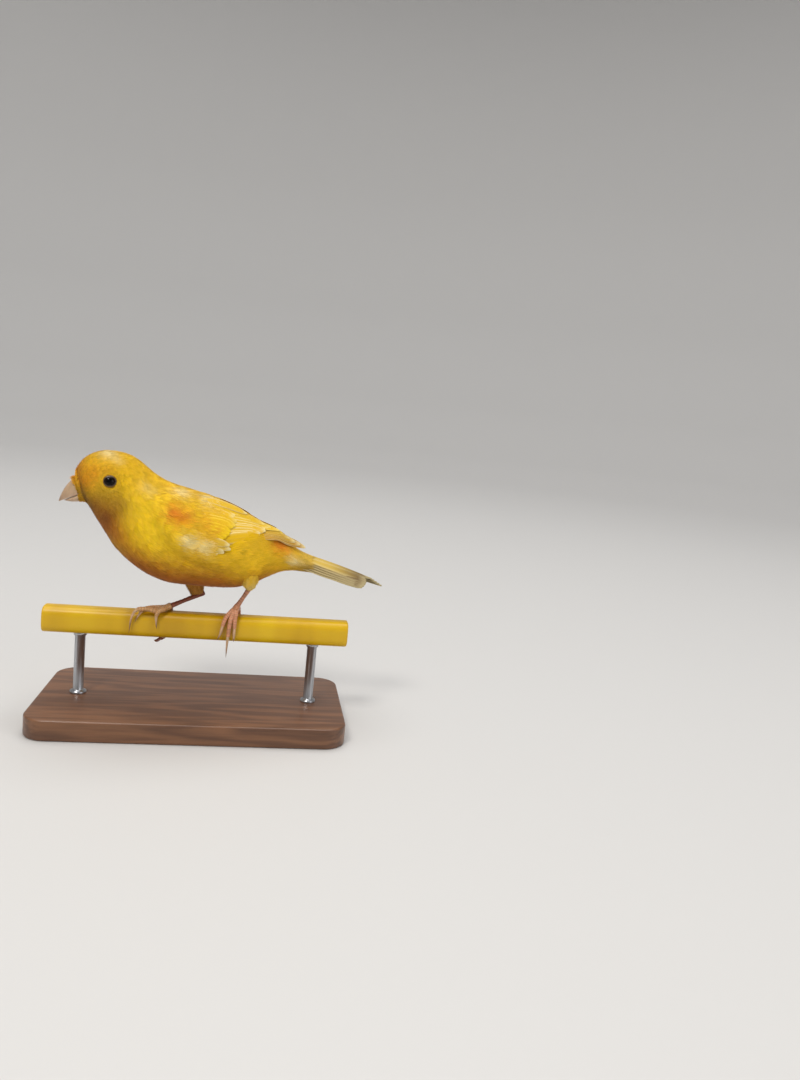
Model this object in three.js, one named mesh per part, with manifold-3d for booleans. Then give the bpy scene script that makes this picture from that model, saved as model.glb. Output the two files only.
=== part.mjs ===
// A canary standing along a cage perch, life size, in millimetres, with +Z up.
// The origin is the centre of the stand base's bottom face. The perch runs along X, the bird's
// head points to -X and its left side faces -Y.
import * as THREE from 'three';
import { mergeVertices } from 'three/addons/utils/BufferGeometryUtils.js';
import Module from 'manifold-3d';

const wasm = await Module();
wasm.setup();

// Gap between pieces that touch
const GAP = 0.3;

// Perch and stand
const PERCH_LENGTH = 120;
const PERCH_HEIGHT = 10.5;
const PERCH_DEPTH = 9.6;
const PERCH_ROUNDNESS = 3.2;
const PERCH_AXIS_HEIGHT = 38;
const BASE_LENGTH = 120;
const BASE_WIDTH = 64;
const BASE_THICKNESS = 8;
const BASE_CORNER = 9;
const BASE_BEVEL = 0.8;
const ROD_RADIUS = 2;
const ROD_SPACING = 92;

// The bird's own frame: x runs from head to tail, y to its right side, z up from the perch's top
const BODY_YAW = THREE.MathUtils.degToRad(8);
const PERCH_TOP = PERCH_AXIS_HEIGHT + PERCH_HEIGHT / 2;

// Sections of the body from the bill's root to the tail's root. Each gives the upper and the lower
// contour point as x and z, the half width, and how far the widest place sits below the middle.
const BODY_SECTIONS = [
  [-49.0, 51.3, -46.6, 42.7, 3.9, 0],
  [-48.6, 55.0, -45.0, 42.1, 6.0, 0],
  [-47.0, 58.6, -43.9, 40.6, 7.4, 0.02],
  [-44.2, 61.0, -42.7, 38.6, 8.3, 0.03],
  [-40.4, 62.5, -41.5, 36.6, 8.8, 0.05],
  [-36.4, 62.8, -40.1, 34.6, 9.1, 0.08],
  [-32.4, 62.3, -38.6, 32.3, 9.4, 0.12],
  [-28.8, 61.1, -36.8, 29.6, 10.0, 0.18],
  [-25.4, 58.9, -34.5, 26.2, 11.2, 0.24],
  [-22.2, 56.3, -31.2, 22.8, 12.8, 0.26],
  [-18.2, 53.7, -26.9, 19.2, 14.4, 0.25],
  [-13.0, 51.6, -21.2, 15.6, 15.6, 0.24],
  [-6.4, 50.0, -14.0, 12.9, 15.9, 0.26],
  [0.6, 48.2, -5.5, 12.0, 15.8, 0.27],
  [8.0, 45.4, 3.5, 11.5, 15.0, 0.25],
  [15.0, 42.0, 12.0, 11.5, 13.3, 0.2],
  [21.5, 38.8, 19.3, 13.3, 11.0, 0.13],
  [27.0, 35.6, 25.6, 16.3, 8.6, 0.06],
  [32.2, 32.2, 31.0, 18.6, 6.8, 0],
  [36.5, 28.8, 35.6, 19.2, 5.8, 0],
];
const HEAD_END = 6.6;
const NECK_END = 9;
const TORSO_END = BODY_SECTIONS.length - 1;
const CUT = 0.05;

// The folded wings' outer surface follows the body and leaves it over the rump
const WING_RISE_TOP = 0.9;
const WING_RISE_SIDE = 2.8;
const WING_BIAS = 0.12;
const WING_REAR_SECTIONS = [
  [28.2, 37.1, 26.6, 24.0, 9.8, 0],
  [33.4, 34.7, 32.4, 24.0, 7.0, 0],
  [38.2, 32.8, 37.6, 24.5, 4.6, 0],
  [42.5, 30.6, 42.2, 25.0, 3.2, 0],
];
const WING_START = 9.95;
const CORE_END = 16.6;
const CORE_INSET = 5;
const CORE_THICKNESS = 0.5;
const VANE_THICKNESS = 0.55;
const VANE_TIP_SHARE = 0.6;
// Share of a feather's width at shares of its length
const LONG_VANE = [[0, 0.55], [0.3, 0.9], [0.65, 1], [0.88, 0.78], [1, 0.24]];
const SHORT_VANE = [[0, 0.6], [0.5, 1], [0.85, 0.8], [1, 0.26]];
// Edges of the wing as section number and degrees down from the back's midline
const WING_UPPER_EDGE = [[9.95, 56], [10.4, 42], [12, 28], [14, 19], [16, 11], [17.5, 10]];
const WING_LOWER_EDGE = [
  [9.95, 58], [10.5, 70], [11.6, 86], [13.5, 100],
  [14.2, 82], [15.2, 60], [16.4, 34], [17.6, 36],
];
// Rows of wing feathers from the deepest to the outermost. Roots and tips are given for a row's first
// and last feather as section number and degrees from the back's midline. Depths are under the wing's
// surface at root and tip, less the lift for each next feather of the row.
const WING_ROWS = [
  {
    name: 'primaries', count: 6, width: 3.4, outline: LONG_VANE,
    roots: [[14.2, 54], [14.3, 30]], tips: [[19.37, 54], [16.9, 16]],
    depths: [1.6, 1.5], lift: 0.2, roll: 5,
  },
  {
    name: 'secondaries', count: 4, width: 4.0, outline: LONG_VANE,
    roots: [[13.2, 68], [13.2, 40]], tips: [[16.5, 36], [16.5, 21]],
    depths: [1.2, 0.85], lift: 0.16, roll: 7,
  },
  {
    name: 'tertials', count: 3, width: 4.4, outline: LONG_VANE,
    roots: [[12.4, 44], [12.6, 27]], tips: [[16.9, 20], [15.3, 17]],
    depths: [0.9, 0.35], lift: 0.2, roll: 5,
  },
  {
    name: 'primary_coverts', count: 4, width: 2.6, outline: SHORT_VANE,
    roots: [[11.3, 87], [12.2, 74]], tips: [[13.55, 99], [14.1, 80]],
    depths: [1.4, 0.9], lift: 0.12, roll: -6,
  },
  {
    name: 'greater_coverts', count: 6, width: 4.1, outline: SHORT_VANE,
    roots: [[12.0, 80], [12.6, 33]], tips: [[13.9, 74], [14.6, 28]],
    depths: [1.5, 0.2], lift: 0, roll: 10,
  },
  {
    name: 'median_coverts', count: 5, width: 4.4, outline: SHORT_VANE,
    roots: [[11.0, 79], [11.6, 39]], tips: [[12.6, 81], [13.3, 33]],
    depths: [1.5, 0], lift: 0, roll: 10,
  },
  {
    name: 'lesser_coverts', count: 4, width: 4.8, outline: SHORT_VANE,
    roots: [[10.2, 65], [10.5, 47]], tips: [[11.5, 78], [12.1, 39]],
    depths: [1.4, -0.1], lift: 0, roll: 9,
  },
  {
    name: 'scapulars', count: 3, width: 4.2, outline: SHORT_VANE,
    roots: [[10.4, 43], [12.8, 26]], tips: [[12.3, 33], [14.9, 17]],
    depths: [0.8, -0.1], lift: 0, roll: 0,
  },
];

// Head
const EYE_PLACE = [-36.75, 51.7];
const EYE_RADIUS = 2.9;
const EYE_DEPTH = 1.9;
const LID_RADIUS = 2.8;
const LID_SIZE = 0.55;
const GAPE_PLACE = [-46.4, 46.0];
const NOSTRIL_PLACE = [-49.7, 49.3];
const NOSTRIL_SIDE = 2.5;
const NOSTRIL_RADIUS = 0.5;
const BILL_SPLIT = 0.64;

// Legs: the feathered shank from inside the belly past the knee to the ankle, then down to the foot
const SHANK_TOP_RADIUS = 4.4;
const SHANK_KNEE_RADIUS = 3.3;
const SHANK_END_RADIUS = 1.5;
const SHANK_STRAIGHT = 1;
const FOOT_STUMP = 1.2;
const TARSUS_RADIUS = 0.85;
const TOE_RADIUS = 0.68;
const CLAW_RADIUS = 0.5;

const COLOURS = {
  plumage: 0xe0b020,
  paleFeather: 0xe6d488,
  bill: 0xc8a888,
  eye: 0x0b0908,
  skin: 0xcf9a78,
  claw: 0xbfa078,
  perch: 0xd0a41e,
  rod: 0xb9bcc0,
  base: 0xc9a878,
};

function material(colour, roughness, metalness = 0) {
  return new THREE.MeshStandardMaterial({ color: colour, roughness, metalness });
}

// Smooth value of a table of rows at a fractional row number
function tableAt(table, place) {
  const last = table.length - 1;
  const row = Math.max(0, Math.min(last - 1, Math.floor(place)));
  const f = place - row;
  const at = (index) => table[Math.max(0, Math.min(last, index))];
  return table[0].map((unused, column) => {
    const a = at(row - 1)[column];
    const b = at(row)[column];
    const c = at(row + 1)[column];
    const d = at(row + 2)[column];
    const square = (2 * a - 5 * b + 4 * c - d) * f ** 2;
    const cube = (3 * b - a - 3 * c + d) * f ** 3;
    return 0.5 * (2 * b + (c - a) * f + square + cube);
  });
}

// Straight-line value between pairs of place and value
function linear(pairs, place) {
  let index = 0;
  while (index < pairs.length - 2 && place > pairs[index + 1][0]) index += 1;
  const [a, b] = [pairs[index], pairs[index + 1]];
  const f = Math.max(0, Math.min(1, (place - a[0]) / (b[0] - a[0])));
  return a[1] + (b[1] - a[1]) * f;
}

const radians = THREE.MathUtils.degToRad;

// Point of a section's outline: angle 0 is its top, and side is -1 for left and 1 for right
function sectionPoint(sections, place, angle, side, grow = 0) {
  const [topX, topZ, lowX, lowZ, halfWidth, bias] = tableAt(sections, place);
  const length = Math.hypot(topX - lowX, topZ - lowZ);
  const along = [(topX - lowX) / length, (topZ - lowZ) / length];
  const drop = (1 - Math.cos(angle)) / 2;
  const reach = grow * Math.cos(angle);
  const x = topX + (lowX - topX) * drop + along[0] * reach;
  const z = topZ + (lowZ - topZ) * drop + along[1] * reach;
  const y = side * Math.sin(angle) * ((halfWidth + grow) * (1 - bias * Math.cos(angle)));
  return new THREE.Vector3(x, y, z);
}

function growSections(rows) {
  return rows.map(([topX, topZ, lowX, lowZ, halfWidth]) => {
    const length = Math.hypot(topX - lowX, topZ - lowZ);
    const dx = ((topX - lowX) / length) * WING_RISE_TOP;
    const dz = ((topZ - lowZ) / length) * WING_RISE_TOP;
    return [topX + dx, topZ + dz, lowX - dx, lowZ - dz, halfWidth + WING_RISE_SIDE, WING_BIAS];
  });
}
const WING_SECTIONS = [...growSections(BODY_SECTIONS.slice(0, 17)), ...WING_REAR_SECTIONS];

// Outward normal of the wing's surface
function wingNormal(place, angle, side) {
  const step = 0.02;
  const ahead = sectionPoint(WING_SECTIONS, place + step, angle, side);
  const behind = sectionPoint(WING_SECTIONS, place - step, angle, side);
  const lower = sectionPoint(WING_SECTIONS, place, angle + step, side);
  const upper = sectionPoint(WING_SECTIONS, place, angle - step, side);
  const normal = ahead.sub(behind).cross(lower.sub(upper)).normalize();
  return normal.multiplyScalar(side);
}

function wingPoint(place, angle, depth, side) {
  const point = sectionPoint(WING_SECTIONS, place, angle, side);
  return point.addScaledVector(wingNormal(place, angle, side), -depth);
}

// Closed mesh through rings of equal count, with a fan over each end
function loft(rings) {
  const count = rings[0].length;
  const points = rings.flat();
  const faces = [];
  for (let r = 0; r < rings.length - 1; r += 1) {
    for (let k = 0; k < count; k += 1) {
      const a = r * count + k;
      const b = r * count + ((k + 1) % count);
      faces.push(a, b, b + count, a, b + count, a + count);
    }
  }
  const centre = (ring) => ring.reduce((sum, p) => sum.add(p), new THREE.Vector3()).divideScalar(count);
  const first = points.push(centre(rings[0])) - 1;
  const last = points.push(centre(rings[rings.length - 1])) - 1;
  const lastRing = (rings.length - 1) * count;
  for (let k = 0; k < count; k += 1) {
    const next = (k + 1) % count;
    faces.push(first, next, k);
    faces.push(last, lastRing + k, lastRing + next);
  }
  return closed(points, faces);
}

// Geometry with its faces turned out
function closed(points, faces) {
  let volume = 0;
  for (let f = 0; f < faces.length; f += 3) {
    const [a, b, c] = [points[faces[f]], points[faces[f + 1]], points[faces[f + 2]]];
    volume += a.dot(new THREE.Vector3().crossVectors(b, c));
  }
  if (volume < 0) faces.reverse();
  const geometry = new THREE.BufferGeometry();
  geometry.setAttribute('position', new THREE.Float32BufferAttribute(points.flatMap((p) => p.toArray()), 3));
  geometry.setIndex(faces);
  return geometry;
}

// Closed thin sheet from two like grids of points, split into triangles alike on both faces
function sheet(upper, lower) {
  const rows = upper.length;
  const columns = upper[0].length;
  const points = [...upper.flat(), ...lower.flat()];
  const below = rows * columns;
  const faces = [];
  for (let i = 0; i < rows - 1; i += 1) {
    for (let j = 0; j < columns - 1; j += 1) {
      const a = i * columns + j;
      const b = a + 1;
      const c = a + columns + 1;
      const d = a + columns;
      faces.push(a, b, c, a, c, d);
      faces.push(below + a, below + c, below + b, below + a, below + d, below + c);
    }
  }
  const rim = [];
  for (let j = 0; j < columns - 1; j += 1) rim.push(j);
  for (let i = 0; i < rows - 1; i += 1) rim.push(i * columns + columns - 1);
  for (let j = columns - 1; j > 0; j -= 1) rim.push((rows - 1) * columns + j);
  for (let i = rows - 1; i > 0; i -= 1) rim.push(i * columns);
  rim.forEach((a, index) => {
    const b = rim[(index + 1) % rim.length];
    faces.push(a, below + a, below + b, a, below + b, b);
  });
  return closed(points, faces);
}

function mergedPositions(geometry) {
  const copy = geometry.clone();
  copy.deleteAttribute('normal');
  copy.deleteAttribute('uv');
  return mergeVertices(copy, 1e-5);
}

function toSolid(geometry) {
  const merged = mergedPositions(geometry);
  const vertProperties = new Float32Array(merged.attributes.position.array);
  const triVerts = new Uint32Array(merged.index.array);
  return new wasm.Manifold(new wasm.Mesh({ numProp: 3, vertProperties, triVerts }));
}

// The largest closed surface of a solid, as geometry
function toGeometry(solid) {
  const pieces = solid.decompose();
  const largest = pieces.reduce((best, piece) => (piece.volume() > best.volume() ? piece : best));
  const mesh = largest.getMesh();
  const geometry = new THREE.BufferGeometry();
  geometry.setAttribute('position', new THREE.BufferAttribute(mesh.vertProperties.slice(), 3));
  geometry.setIndex(new THREE.BufferAttribute(mesh.triVerts.slice(), 1));
  return geometry;
}

function fuse(geometries) {
  return geometries.map(toSolid).reduce((sum, solid) => sum.add(solid));
}

// Round bar along a list of points, with a radius at each and flat ends
function bar(points, radii, sides, steps) {
  const curve = new THREE.CatmullRomCurve3(points, false, 'centripetal');
  const count = (points.length - 1) * steps;
  const tangentAt = (f) => curve.getTangent(f);
  let across = new THREE.Vector3(0, 0, 1).cross(tangentAt(0));
  if (across.length() < 0.2) across = new THREE.Vector3(1, 0, 0).cross(tangentAt(0));
  const rings = [];
  for (let i = 0; i <= count; i += 1) {
    const f = i / count;
    const tangent = tangentAt(f);
    across.addScaledVector(tangent, -across.dot(tangent)).normalize();
    const other = new THREE.Vector3().crossVectors(tangent, across);
    const place = f * (radii.length - 1);
    const row = Math.min(radii.length - 2, Math.floor(place));
    const radius = radii[row] + (radii[row + 1] - radii[row]) * (place - row);
    const middle = curve.getPoint(f);
    const ring = [];
    for (let k = 0; k < sides; k += 1) {
      const angle = (k / sides) * Math.PI * 2;
      const point = middle.clone().addScaledVector(across, Math.cos(angle) * radius);
      ring.push(point.addScaledVector(other, Math.sin(angle) * radius));
    }
    rings.push(ring);
  }
  return loft(rings);
}

// Ring of points round a body section
function bodyRing(place, sides, grow = 0, sections = BODY_SECTIONS) {
  const ring = [];
  for (let k = 0; k < sides; k += 1) {
    const turn = (k / sides) * Math.PI * 2;
    const side = turn <= Math.PI ? 1 : -1;
    const angle = turn <= Math.PI ? turn : 2 * Math.PI - turn;
    ring.push(sectionPoint(sections, place, angle, side, grow));
  }
  return ring;
}

function bodyPiece(from, to, steps, sides, grow = 0) {
  const rings = [];
  for (let i = 0; i <= steps; i += 1) {
    rings.push(bodyRing(from + ((to - from) * i) / steps, sides, grow));
  }
  return loft(rings);
}

const bird = new THREE.Group();
bird.rotation.z = BODY_YAW;
bird.position.z = PERCH_TOP;
bird.updateMatrixWorld(true);
const canary = new THREE.Group();
canary.add(bird);

function addPiece(group, name, geometry, look) {
  const mesh = new THREE.Mesh(geometry, look);
  mesh.name = name;
  group.add(mesh);
  return mesh;
}

// Place on the body's side, given as x and z of the side view
function sidePlace([x, z], side) {
  let best = { error: Infinity };
  for (let place = 0; place <= TORSO_END; place += 0.02) {
    const [topX, topZ, lowX, lowZ] = tableAt(BODY_SECTIONS, place);
    const length = Math.hypot(lowX - topX, lowZ - topZ);
    const error = Math.abs((x - topX) * (lowZ - topZ) - (z - topZ) * (lowX - topX)) / length;
    if (error < best.error) {
      const drop = ((x - topX) * (lowX - topX) + (z - topZ) * (lowZ - topZ)) / length ** 2;
      best = { error, place, angle: Math.acos(THREE.MathUtils.clamp(1 - 2 * drop, -1, 1)) };
    }
  }
  const point = sectionPoint(BODY_SECTIONS, best.place, best.angle, side);
  const step = 0.05;
  const along = sectionPoint(BODY_SECTIONS, best.place + step, best.angle, side).sub(point);
  const down = sectionPoint(BODY_SECTIONS, best.place, best.angle + step, side).sub(point);
  const normal = along.cross(down).normalize().multiplyScalar(side);
  return { point, normal };
}

// Head, with lids round the eye sockets and the mouth's line running back from the bill
function eyeCentre(side) {
  const { point, normal } = sidePlace(EYE_PLACE, side);
  return { centre: point.clone().addScaledVector(normal, -EYE_DEPTH), point, normal };
}

function ball(centre, radius, around = 14, rows = 9) {
  const geometry = mergedPositions(new THREE.SphereGeometry(radius, around, rows));
  return geometry.translate(centre.x, centre.y, centre.z);
}

function lidRing(side) {
  const { point, normal } = eyeCentre(side);
  const section = [];
  const sides = 6;
  for (let k = 0; k <= sides; k += 1) {
    const angle = (k / sides) * Math.PI * 2;
    section.push(new THREE.Vector2(LID_RADIUS + LID_SIZE * Math.cos(angle), LID_SIZE * Math.sin(angle)));
  }
  const ring = mergedPositions(new THREE.LatheGeometry(section, 16));
  const turn = new THREE.Quaternion().setFromUnitVectors(new THREE.Vector3(0, 1, 0), normal);
  return ring.applyQuaternion(turn).translate(point.x, point.y, point.z);
}

function mouthSlit(side) {
  const { point, normal } = sidePlace(GAPE_PLACE, side);
  const front = new THREE.Vector3(-49.4, point.y - normal.y, 44.7);
  const start = point.clone();
  return bar([start, start.clone().lerp(front, 0.5), front], [0.12, 0.22, 0.3], 6, 1);
}

function makeHead() {
  let head = toSolid(bodyPiece(0, HEAD_END - CUT, 12, 24));
  for (const side of [-1, 1]) {
    head = head.add(toSolid(lidRing(side)));
  }
  for (const side of [-1, 1]) {
    head = head.subtract(toSolid(ball(eyeCentre(side).centre, EYE_RADIUS + GAP)));
    head = head.subtract(toSolid(mouthSlit(side)));
  }
  return toGeometry(head);
}

// Bill: the culmen and the mouth's edge run from the head's front face to the tip
const [FACE_TOP_X, FACE_TOP_Z, FACE_LOW_X, FACE_LOW_Z, FACE_HALF_WIDTH] = BODY_SECTIONS[0];
const FACE_LENGTH = Math.hypot(FACE_TOP_X - FACE_LOW_X, FACE_TOP_Z - FACE_LOW_Z);
const FACE_NORMAL = [-(FACE_TOP_Z - FACE_LOW_Z) / FACE_LENGTH, (FACE_TOP_X - FACE_LOW_X) / FACE_LENGTH];

function facePoint(drop) {
  const x = FACE_TOP_X + (FACE_LOW_X - FACE_TOP_X) * drop + FACE_NORMAL[0] * GAP;
  const z = FACE_TOP_Z + (FACE_LOW_Z - FACE_TOP_Z) * drop + FACE_NORMAL[1] * GAP;
  return [x, z];
}

function billPiece(rows, flatLow) {
  const around = 7;
  const widest = radians(118);
  const rings = [];
  const steps = (rows.length - 1) * 2;
  for (let i = 0; i <= steps; i += 1) {
    const [roundX, roundZ, flatX, flatZ, halfWidth] = tableAt(rows, (i / steps) * (rows.length - 1));
    const ring = [];
    for (let k = -around; k <= around; k += 1) {
      const angle = (k / around) * widest;
      const drop = (1 - Math.cos(angle)) / (1 - Math.cos(widest));
      const y = halfWidth * Math.sin(angle);
      ring.push(new THREE.Vector3(roundX + (flatX - roundX) * drop, y, roundZ + (flatZ - roundZ) * drop));
    }
    rings.push(flatLow ? ring : ring.reverse());
  }
  return loft(rings);
}

const UPPER_BILL = [
  [...facePoint(0), ...facePoint(BILL_SPLIT), FACE_HALF_WIDTH],
  [-50.9, 49.9, -48.9, 44.9, 3.5],
  [-52.4, 48.0, -50.6, 44.1, 2.8],
  [-53.7, 45.6, -52.3, 43.3, 1.9],
  [-54.6, 43.3, -53.9, 42.5, 0.9],
  [-54.85, 42.1, -54.8, 42.0, 0.12],
];
const LOWER_BILL = [
  [...facePoint(1), ...facePoint(BILL_SPLIT + (GAP + 0.1) / FACE_LENGTH), FACE_HALF_WIDTH - 0.3],
  [-48.5, 42.3, -48.9, 44.5, 3.1],
  [-50.3, 42.2, -50.6, 43.7, 2.3],
  [-51.9, 42.35, -52.1, 43.0, 1.3],
  [-52.9, 42.5, -53.0, 42.6, 0.2],
];

function makeUpperBill() {
  let bill = toSolid(billPiece(UPPER_BILL, true));
  for (const side of [-1, 1]) {
    const place = new THREE.Vector3(NOSTRIL_PLACE[0], side * NOSTRIL_SIDE, NOSTRIL_PLACE[1]);
    bill = bill.subtract(toSolid(ball(place, NOSTRIL_RADIUS, 8, 6)));
  }
  return toGeometry(bill);
}

// Room between the wing's surface and the body under it
function wingRoom(angle) {
  return WING_RISE_TOP * Math.cos(angle) ** 2 + WING_RISE_SIDE * Math.sin(angle) ** 2 - GAP - 0.05;
}

// The arm under the feathers: a thin sheet that lies on the body, from the shoulder to the rump
function wingCore(side) {
  const across = 6;
  const steps = 9;
  const outer = [];
  const inner = [];
  for (let i = 0; i <= steps; i += 1) {
    const f = i / steps;
    const place = WING_START + (CORE_END - WING_START) * f;
    const upper = radians(linear(WING_UPPER_EDGE, place) + CORE_INSET * Math.sin(f * Math.PI));
    const lower = radians(linear(WING_LOWER_EDGE, place) - CORE_INSET * Math.sin(f * Math.PI));
    const outerRow = [];
    const innerRow = [];
    for (let k = 0; k <= across; k += 1) {
      const g = k / across;
      const angle = upper + (lower - upper) * g;
      const room = wingRoom(angle);
      const crown = Math.sin(g * Math.PI) ** 0.7 * Math.sin(f * Math.PI) ** 0.5;
      const thickness = Math.min(room, VANE_THICKNESS + CORE_THICKNESS * crown);
      outerRow.push(wingPoint(place, angle, room - thickness, side));
      innerRow.push(wingPoint(place, angle, room, side));
    }
    outer.push(outerRow);
    inner.push(innerRow);
  }
  return sheet(outer, inner);
}

// One feather: a thin vane along a route of middle points, each with its normal
function vane(route, outline, width, roll, thickness) {
  const upper = [];
  const lower = [];
  const count = route.length - 1;
  route.forEach(({ middle, normal }, index) => {
    const before = route[Math.max(0, index - 1)].middle;
    const after = route[Math.min(count, index + 1)].middle;
    const along = after.clone().sub(before).normalize();
    const across = new THREE.Vector3().crossVectors(along, normal).normalize().applyAxisAngle(along, roll);
    const up = new THREE.Vector3().crossVectors(across, along);
    const half = (width / 2) * outline[index][1];
    const thick = thickness * (index === count ? VANE_TIP_SHARE : 1);
    const ends = [-half, half].map((reach) => middle.clone().addScaledVector(across, reach));
    upper.push(ends.map((end) => end.clone().addScaledVector(up, thick / 2)));
    lower.push(ends.map((end) => end.clone().addScaledVector(up, -thick / 2)));
  });
  return sheet(upper, lower);
}

function wingVane(root, tip, row, side) {
  const route = row.outline.map(([f]) => {
    const place = root[0] + (tip[0] - root[0]) * f;
    const angle = radians(root[1] + (tip[1] - root[1]) * f);
    const depth = row.depths[0] + (row.depths[1] - row.depths[0]) * f;
    return { middle: wingPoint(place, angle, depth, side), normal: wingNormal(place, angle, side) };
  });
  return vane(route, row.outline, row.width, side * radians(row.roll), VANE_THICKNESS);
}

function wingPiece(side) {
  const pieces = [wingCore(side)];
  for (const row of WING_ROWS) {
    for (let i = 0; i < row.count; i += 1) {
      const f = i / (row.count - 1);
      const mix = (a, b) => a.map((value, k) => value + (b[k] - value) * f);
      const placed = { ...row, depths: row.depths.map((depth) => depth - row.lift * i) };
      pieces.push(wingVane(mix(row.roots[0], row.roots[1]), mix(row.tips[0], row.tips[1]), placed, side));
    }
  }
  return fuse(pieces);
}

// Legs
const perchPoint = (x, phi, clearance) => {
  const [c, s] = [Math.cos(radians(phi)), Math.sin(radians(phi))];
  const power = 2 / PERCH_ROUNDNESS;
  const y = -Math.sign(s) * Math.abs(s) ** power * (PERCH_DEPTH / 2 + clearance);
  const z = Math.sign(c) * Math.abs(c) ** power * (PERCH_HEIGHT / 2 + clearance);
  return new THREE.Vector3(x, y, PERCH_AXIS_HEIGHT + z);
};
const inBird = (x, y, z) => bird.localToWorld(new THREE.Vector3(x, y, z));

// Each toe runs from the foot's joint as x along the perch and degrees round it, 0 on top and 90 in
// front, with the height over the perch at each point; its last two points are the claw's.
const LEGS = {
  left: {
    belly: [16.4, -5.0, 21.0],
    knee: [17.6, -6.7, 15.6],
    ankle: [18.3, -5.6, 12.4],
    joint: [14.0, -2.5, 8.9],
    toes: {
      1: [[14.4, -8, 2.6], [14.8, -45, 1.2], [15.0, -80, 1.1], [15.2, -105, 1.2], [15.4, -140, 1.5]],
      2: [[11.8, 30, 2.6], [10.3, 52, 1.8], [9.2, 82, 1.2], [8.4, 96, 1.3], [7.3, 124, 1.0]],
      3: [[12.9, 34, 2.6], [12.2, 60, 2.0], [11.6, 100, 1.3], [11.4, 128, 2.0], [11.3, 158, 6.4]],
      4: [[14.0, 36, 2.5], [13.9, 58, 1.8], [13.9, 86, 1.2], [13.9, 104, 1.2], [13.8, 126, 1.2]],
    },
  },
  right: {
    belly: [-3.0, 5.2, 19.0],
    knee: [-1.4, 6.0, 12.0],
    ankle: [-0.4, 4.9, 6.6],
    joint: [-13.0, -1.6, 7.2],
    toes: {
      1: [[-12.6, -18, 1.5], [-12.7, -48, 1.2], [-12.9, -85, 1.1], [-13.2, -135, 1.1], [-13.6, -176, 1.1]],
      2: [[-14.6, 30, 2.2], [-15.9, 44, 2.4], [-16.6, 60, 1.6], [-16.6, 76, 1.3], [-16.3, 92, 1.2]],
      3: [[-16.6, 36, 1.9], [-20.6, 38, 2.8], [-23.9, 44, 3.0], [-25.7, 64, 1.9], [-26.8, 108, 1.2]],
      4: [[-15.8, 0, 1.3], [-19.4, 2, 1.2], [-21.8, 18, 1.2], [-23.2, 50, 0.95], [-24.7, 84, 1.0]],
    },
  },
};
const TOE_END = 3;

function toePoints(leg, name) {
  const joint = perchJoint(leg);
  return [joint, ...leg.toes[name].map(([x, phi, over]) => perchPoint(x, phi, over))];
}

function perchJoint(leg) {
  const [x, y, z] = leg.joint;
  return new THREE.Vector3(x, y, PERCH_AXIS_HEIGHT + z);
}

function makeTarsus(leg) {
  const ankle = inBird(...leg.ankle);
  const joint = perchJoint(leg);
  const direction = joint.clone().sub(ankle).normalize();
  const start = ankle.clone().addScaledVector(direction, GAP);
  const end = joint.clone().addScaledVector(direction, -FOOT_STUMP - GAP);
  const middle = start.clone().lerp(end, 0.5);
  const radii = [TARSUS_RADIUS * 1.15, TARSUS_RADIUS * 0.92, TARSUS_RADIUS * 1.1];
  return bar([start, middle, end], radii, 10, 3);
}

function makeFoot(leg) {
  const joint = perchJoint(leg);
  const up = inBird(...leg.ankle).sub(joint).normalize();
  const top = joint.clone().addScaledVector(up, FOOT_STUMP);
  const under = joint.clone().addScaledVector(up, -0.4);
  const pieces = [bar([under, joint, top], [0.6, 1.15, TARSUS_RADIUS * 1.1], 10, 2)];
  for (const name of Object.keys(leg.toes)) {
    const points = toePoints(leg, name).slice(0, TOE_END + 1);
    const radii = [TOE_RADIUS * 1.15, TOE_RADIUS, TOE_RADIUS * 1.05, TOE_RADIUS * 0.9];
    pieces.push(bar(points, radii, 8, 2));
  }
  return toGeometry(fuse(pieces));
}

function makeClaw(leg, name) {
  const points = toePoints(leg, name);
  const curve = new THREE.CatmullRomCurve3(points, false, 'centripetal');
  const toeShare = TOE_END / (points.length - 1);
  const start = curve.getPoint(toeShare).addScaledVector(curve.getTangent(toeShare), GAP);
  const route = [start];
  for (let i = 1; i <= 3; i += 1) {
    route.push(curve.getPoint(toeShare + ((1 - toeShare) * i) / 3));
  }
  return bar(route, [CLAW_RADIUS * 1.15, CLAW_RADIUS, CLAW_RADIUS * 0.7, 0.1], 6, 2);
}

function makeShank(leg, torsoClear) {
  const top = new THREE.Vector3(...leg.belly);
  const end = new THREE.Vector3(...leg.ankle);
  const toFoot = bird.worldToLocal(perchJoint(leg)).sub(end).normalize();
  const beforeEnd = end.clone().addScaledVector(toFoot, -SHANK_STRAIGHT);
  const knee = new THREE.Vector3(...leg.knee);
  const radii = [SHANK_TOP_RADIUS, SHANK_KNEE_RADIUS, SHANK_END_RADIUS * 1.1, SHANK_END_RADIUS];
  return toGeometry(toSolid(bar([top, knee, beforeEnd, end], radii, 14, 3)).subtract(torsoClear));
}

// Tail: a stub that carries on the rump, with the folded feathers growing from it like a low roof.
// Level 0 is the middle feather on top, and each next one lies a level lower.
const TAIL_STUB = [
  [36.9, 28.6, 36.0, 19.3, 5.7, 0],
  [39.6, 27.4, 39.0, 19.1, 5.3, 0],
  [42.6, 25.6, 42.2, 20.6, 3.6, 0],
];
const TAIL_ROOT_X = 38.6;
const TAIL_ROOT_Z = 26.8;
const TAIL_ROOT_PITCH = 0.95;
const TAIL_TIP_X = 65;
const TAIL_TIP_Z = 18.6;
const TAIL_SLOPE = -0.31;
const TAIL_TIP_PITCH = 0.55;
const TAIL_ROLL = radians(9);
const TAIL_ROOF = radians(14);
const TAIL_FEATHER_WIDTH = 5.2;
const TAIL_VANE_THICKNESS = 0.5;
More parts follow.
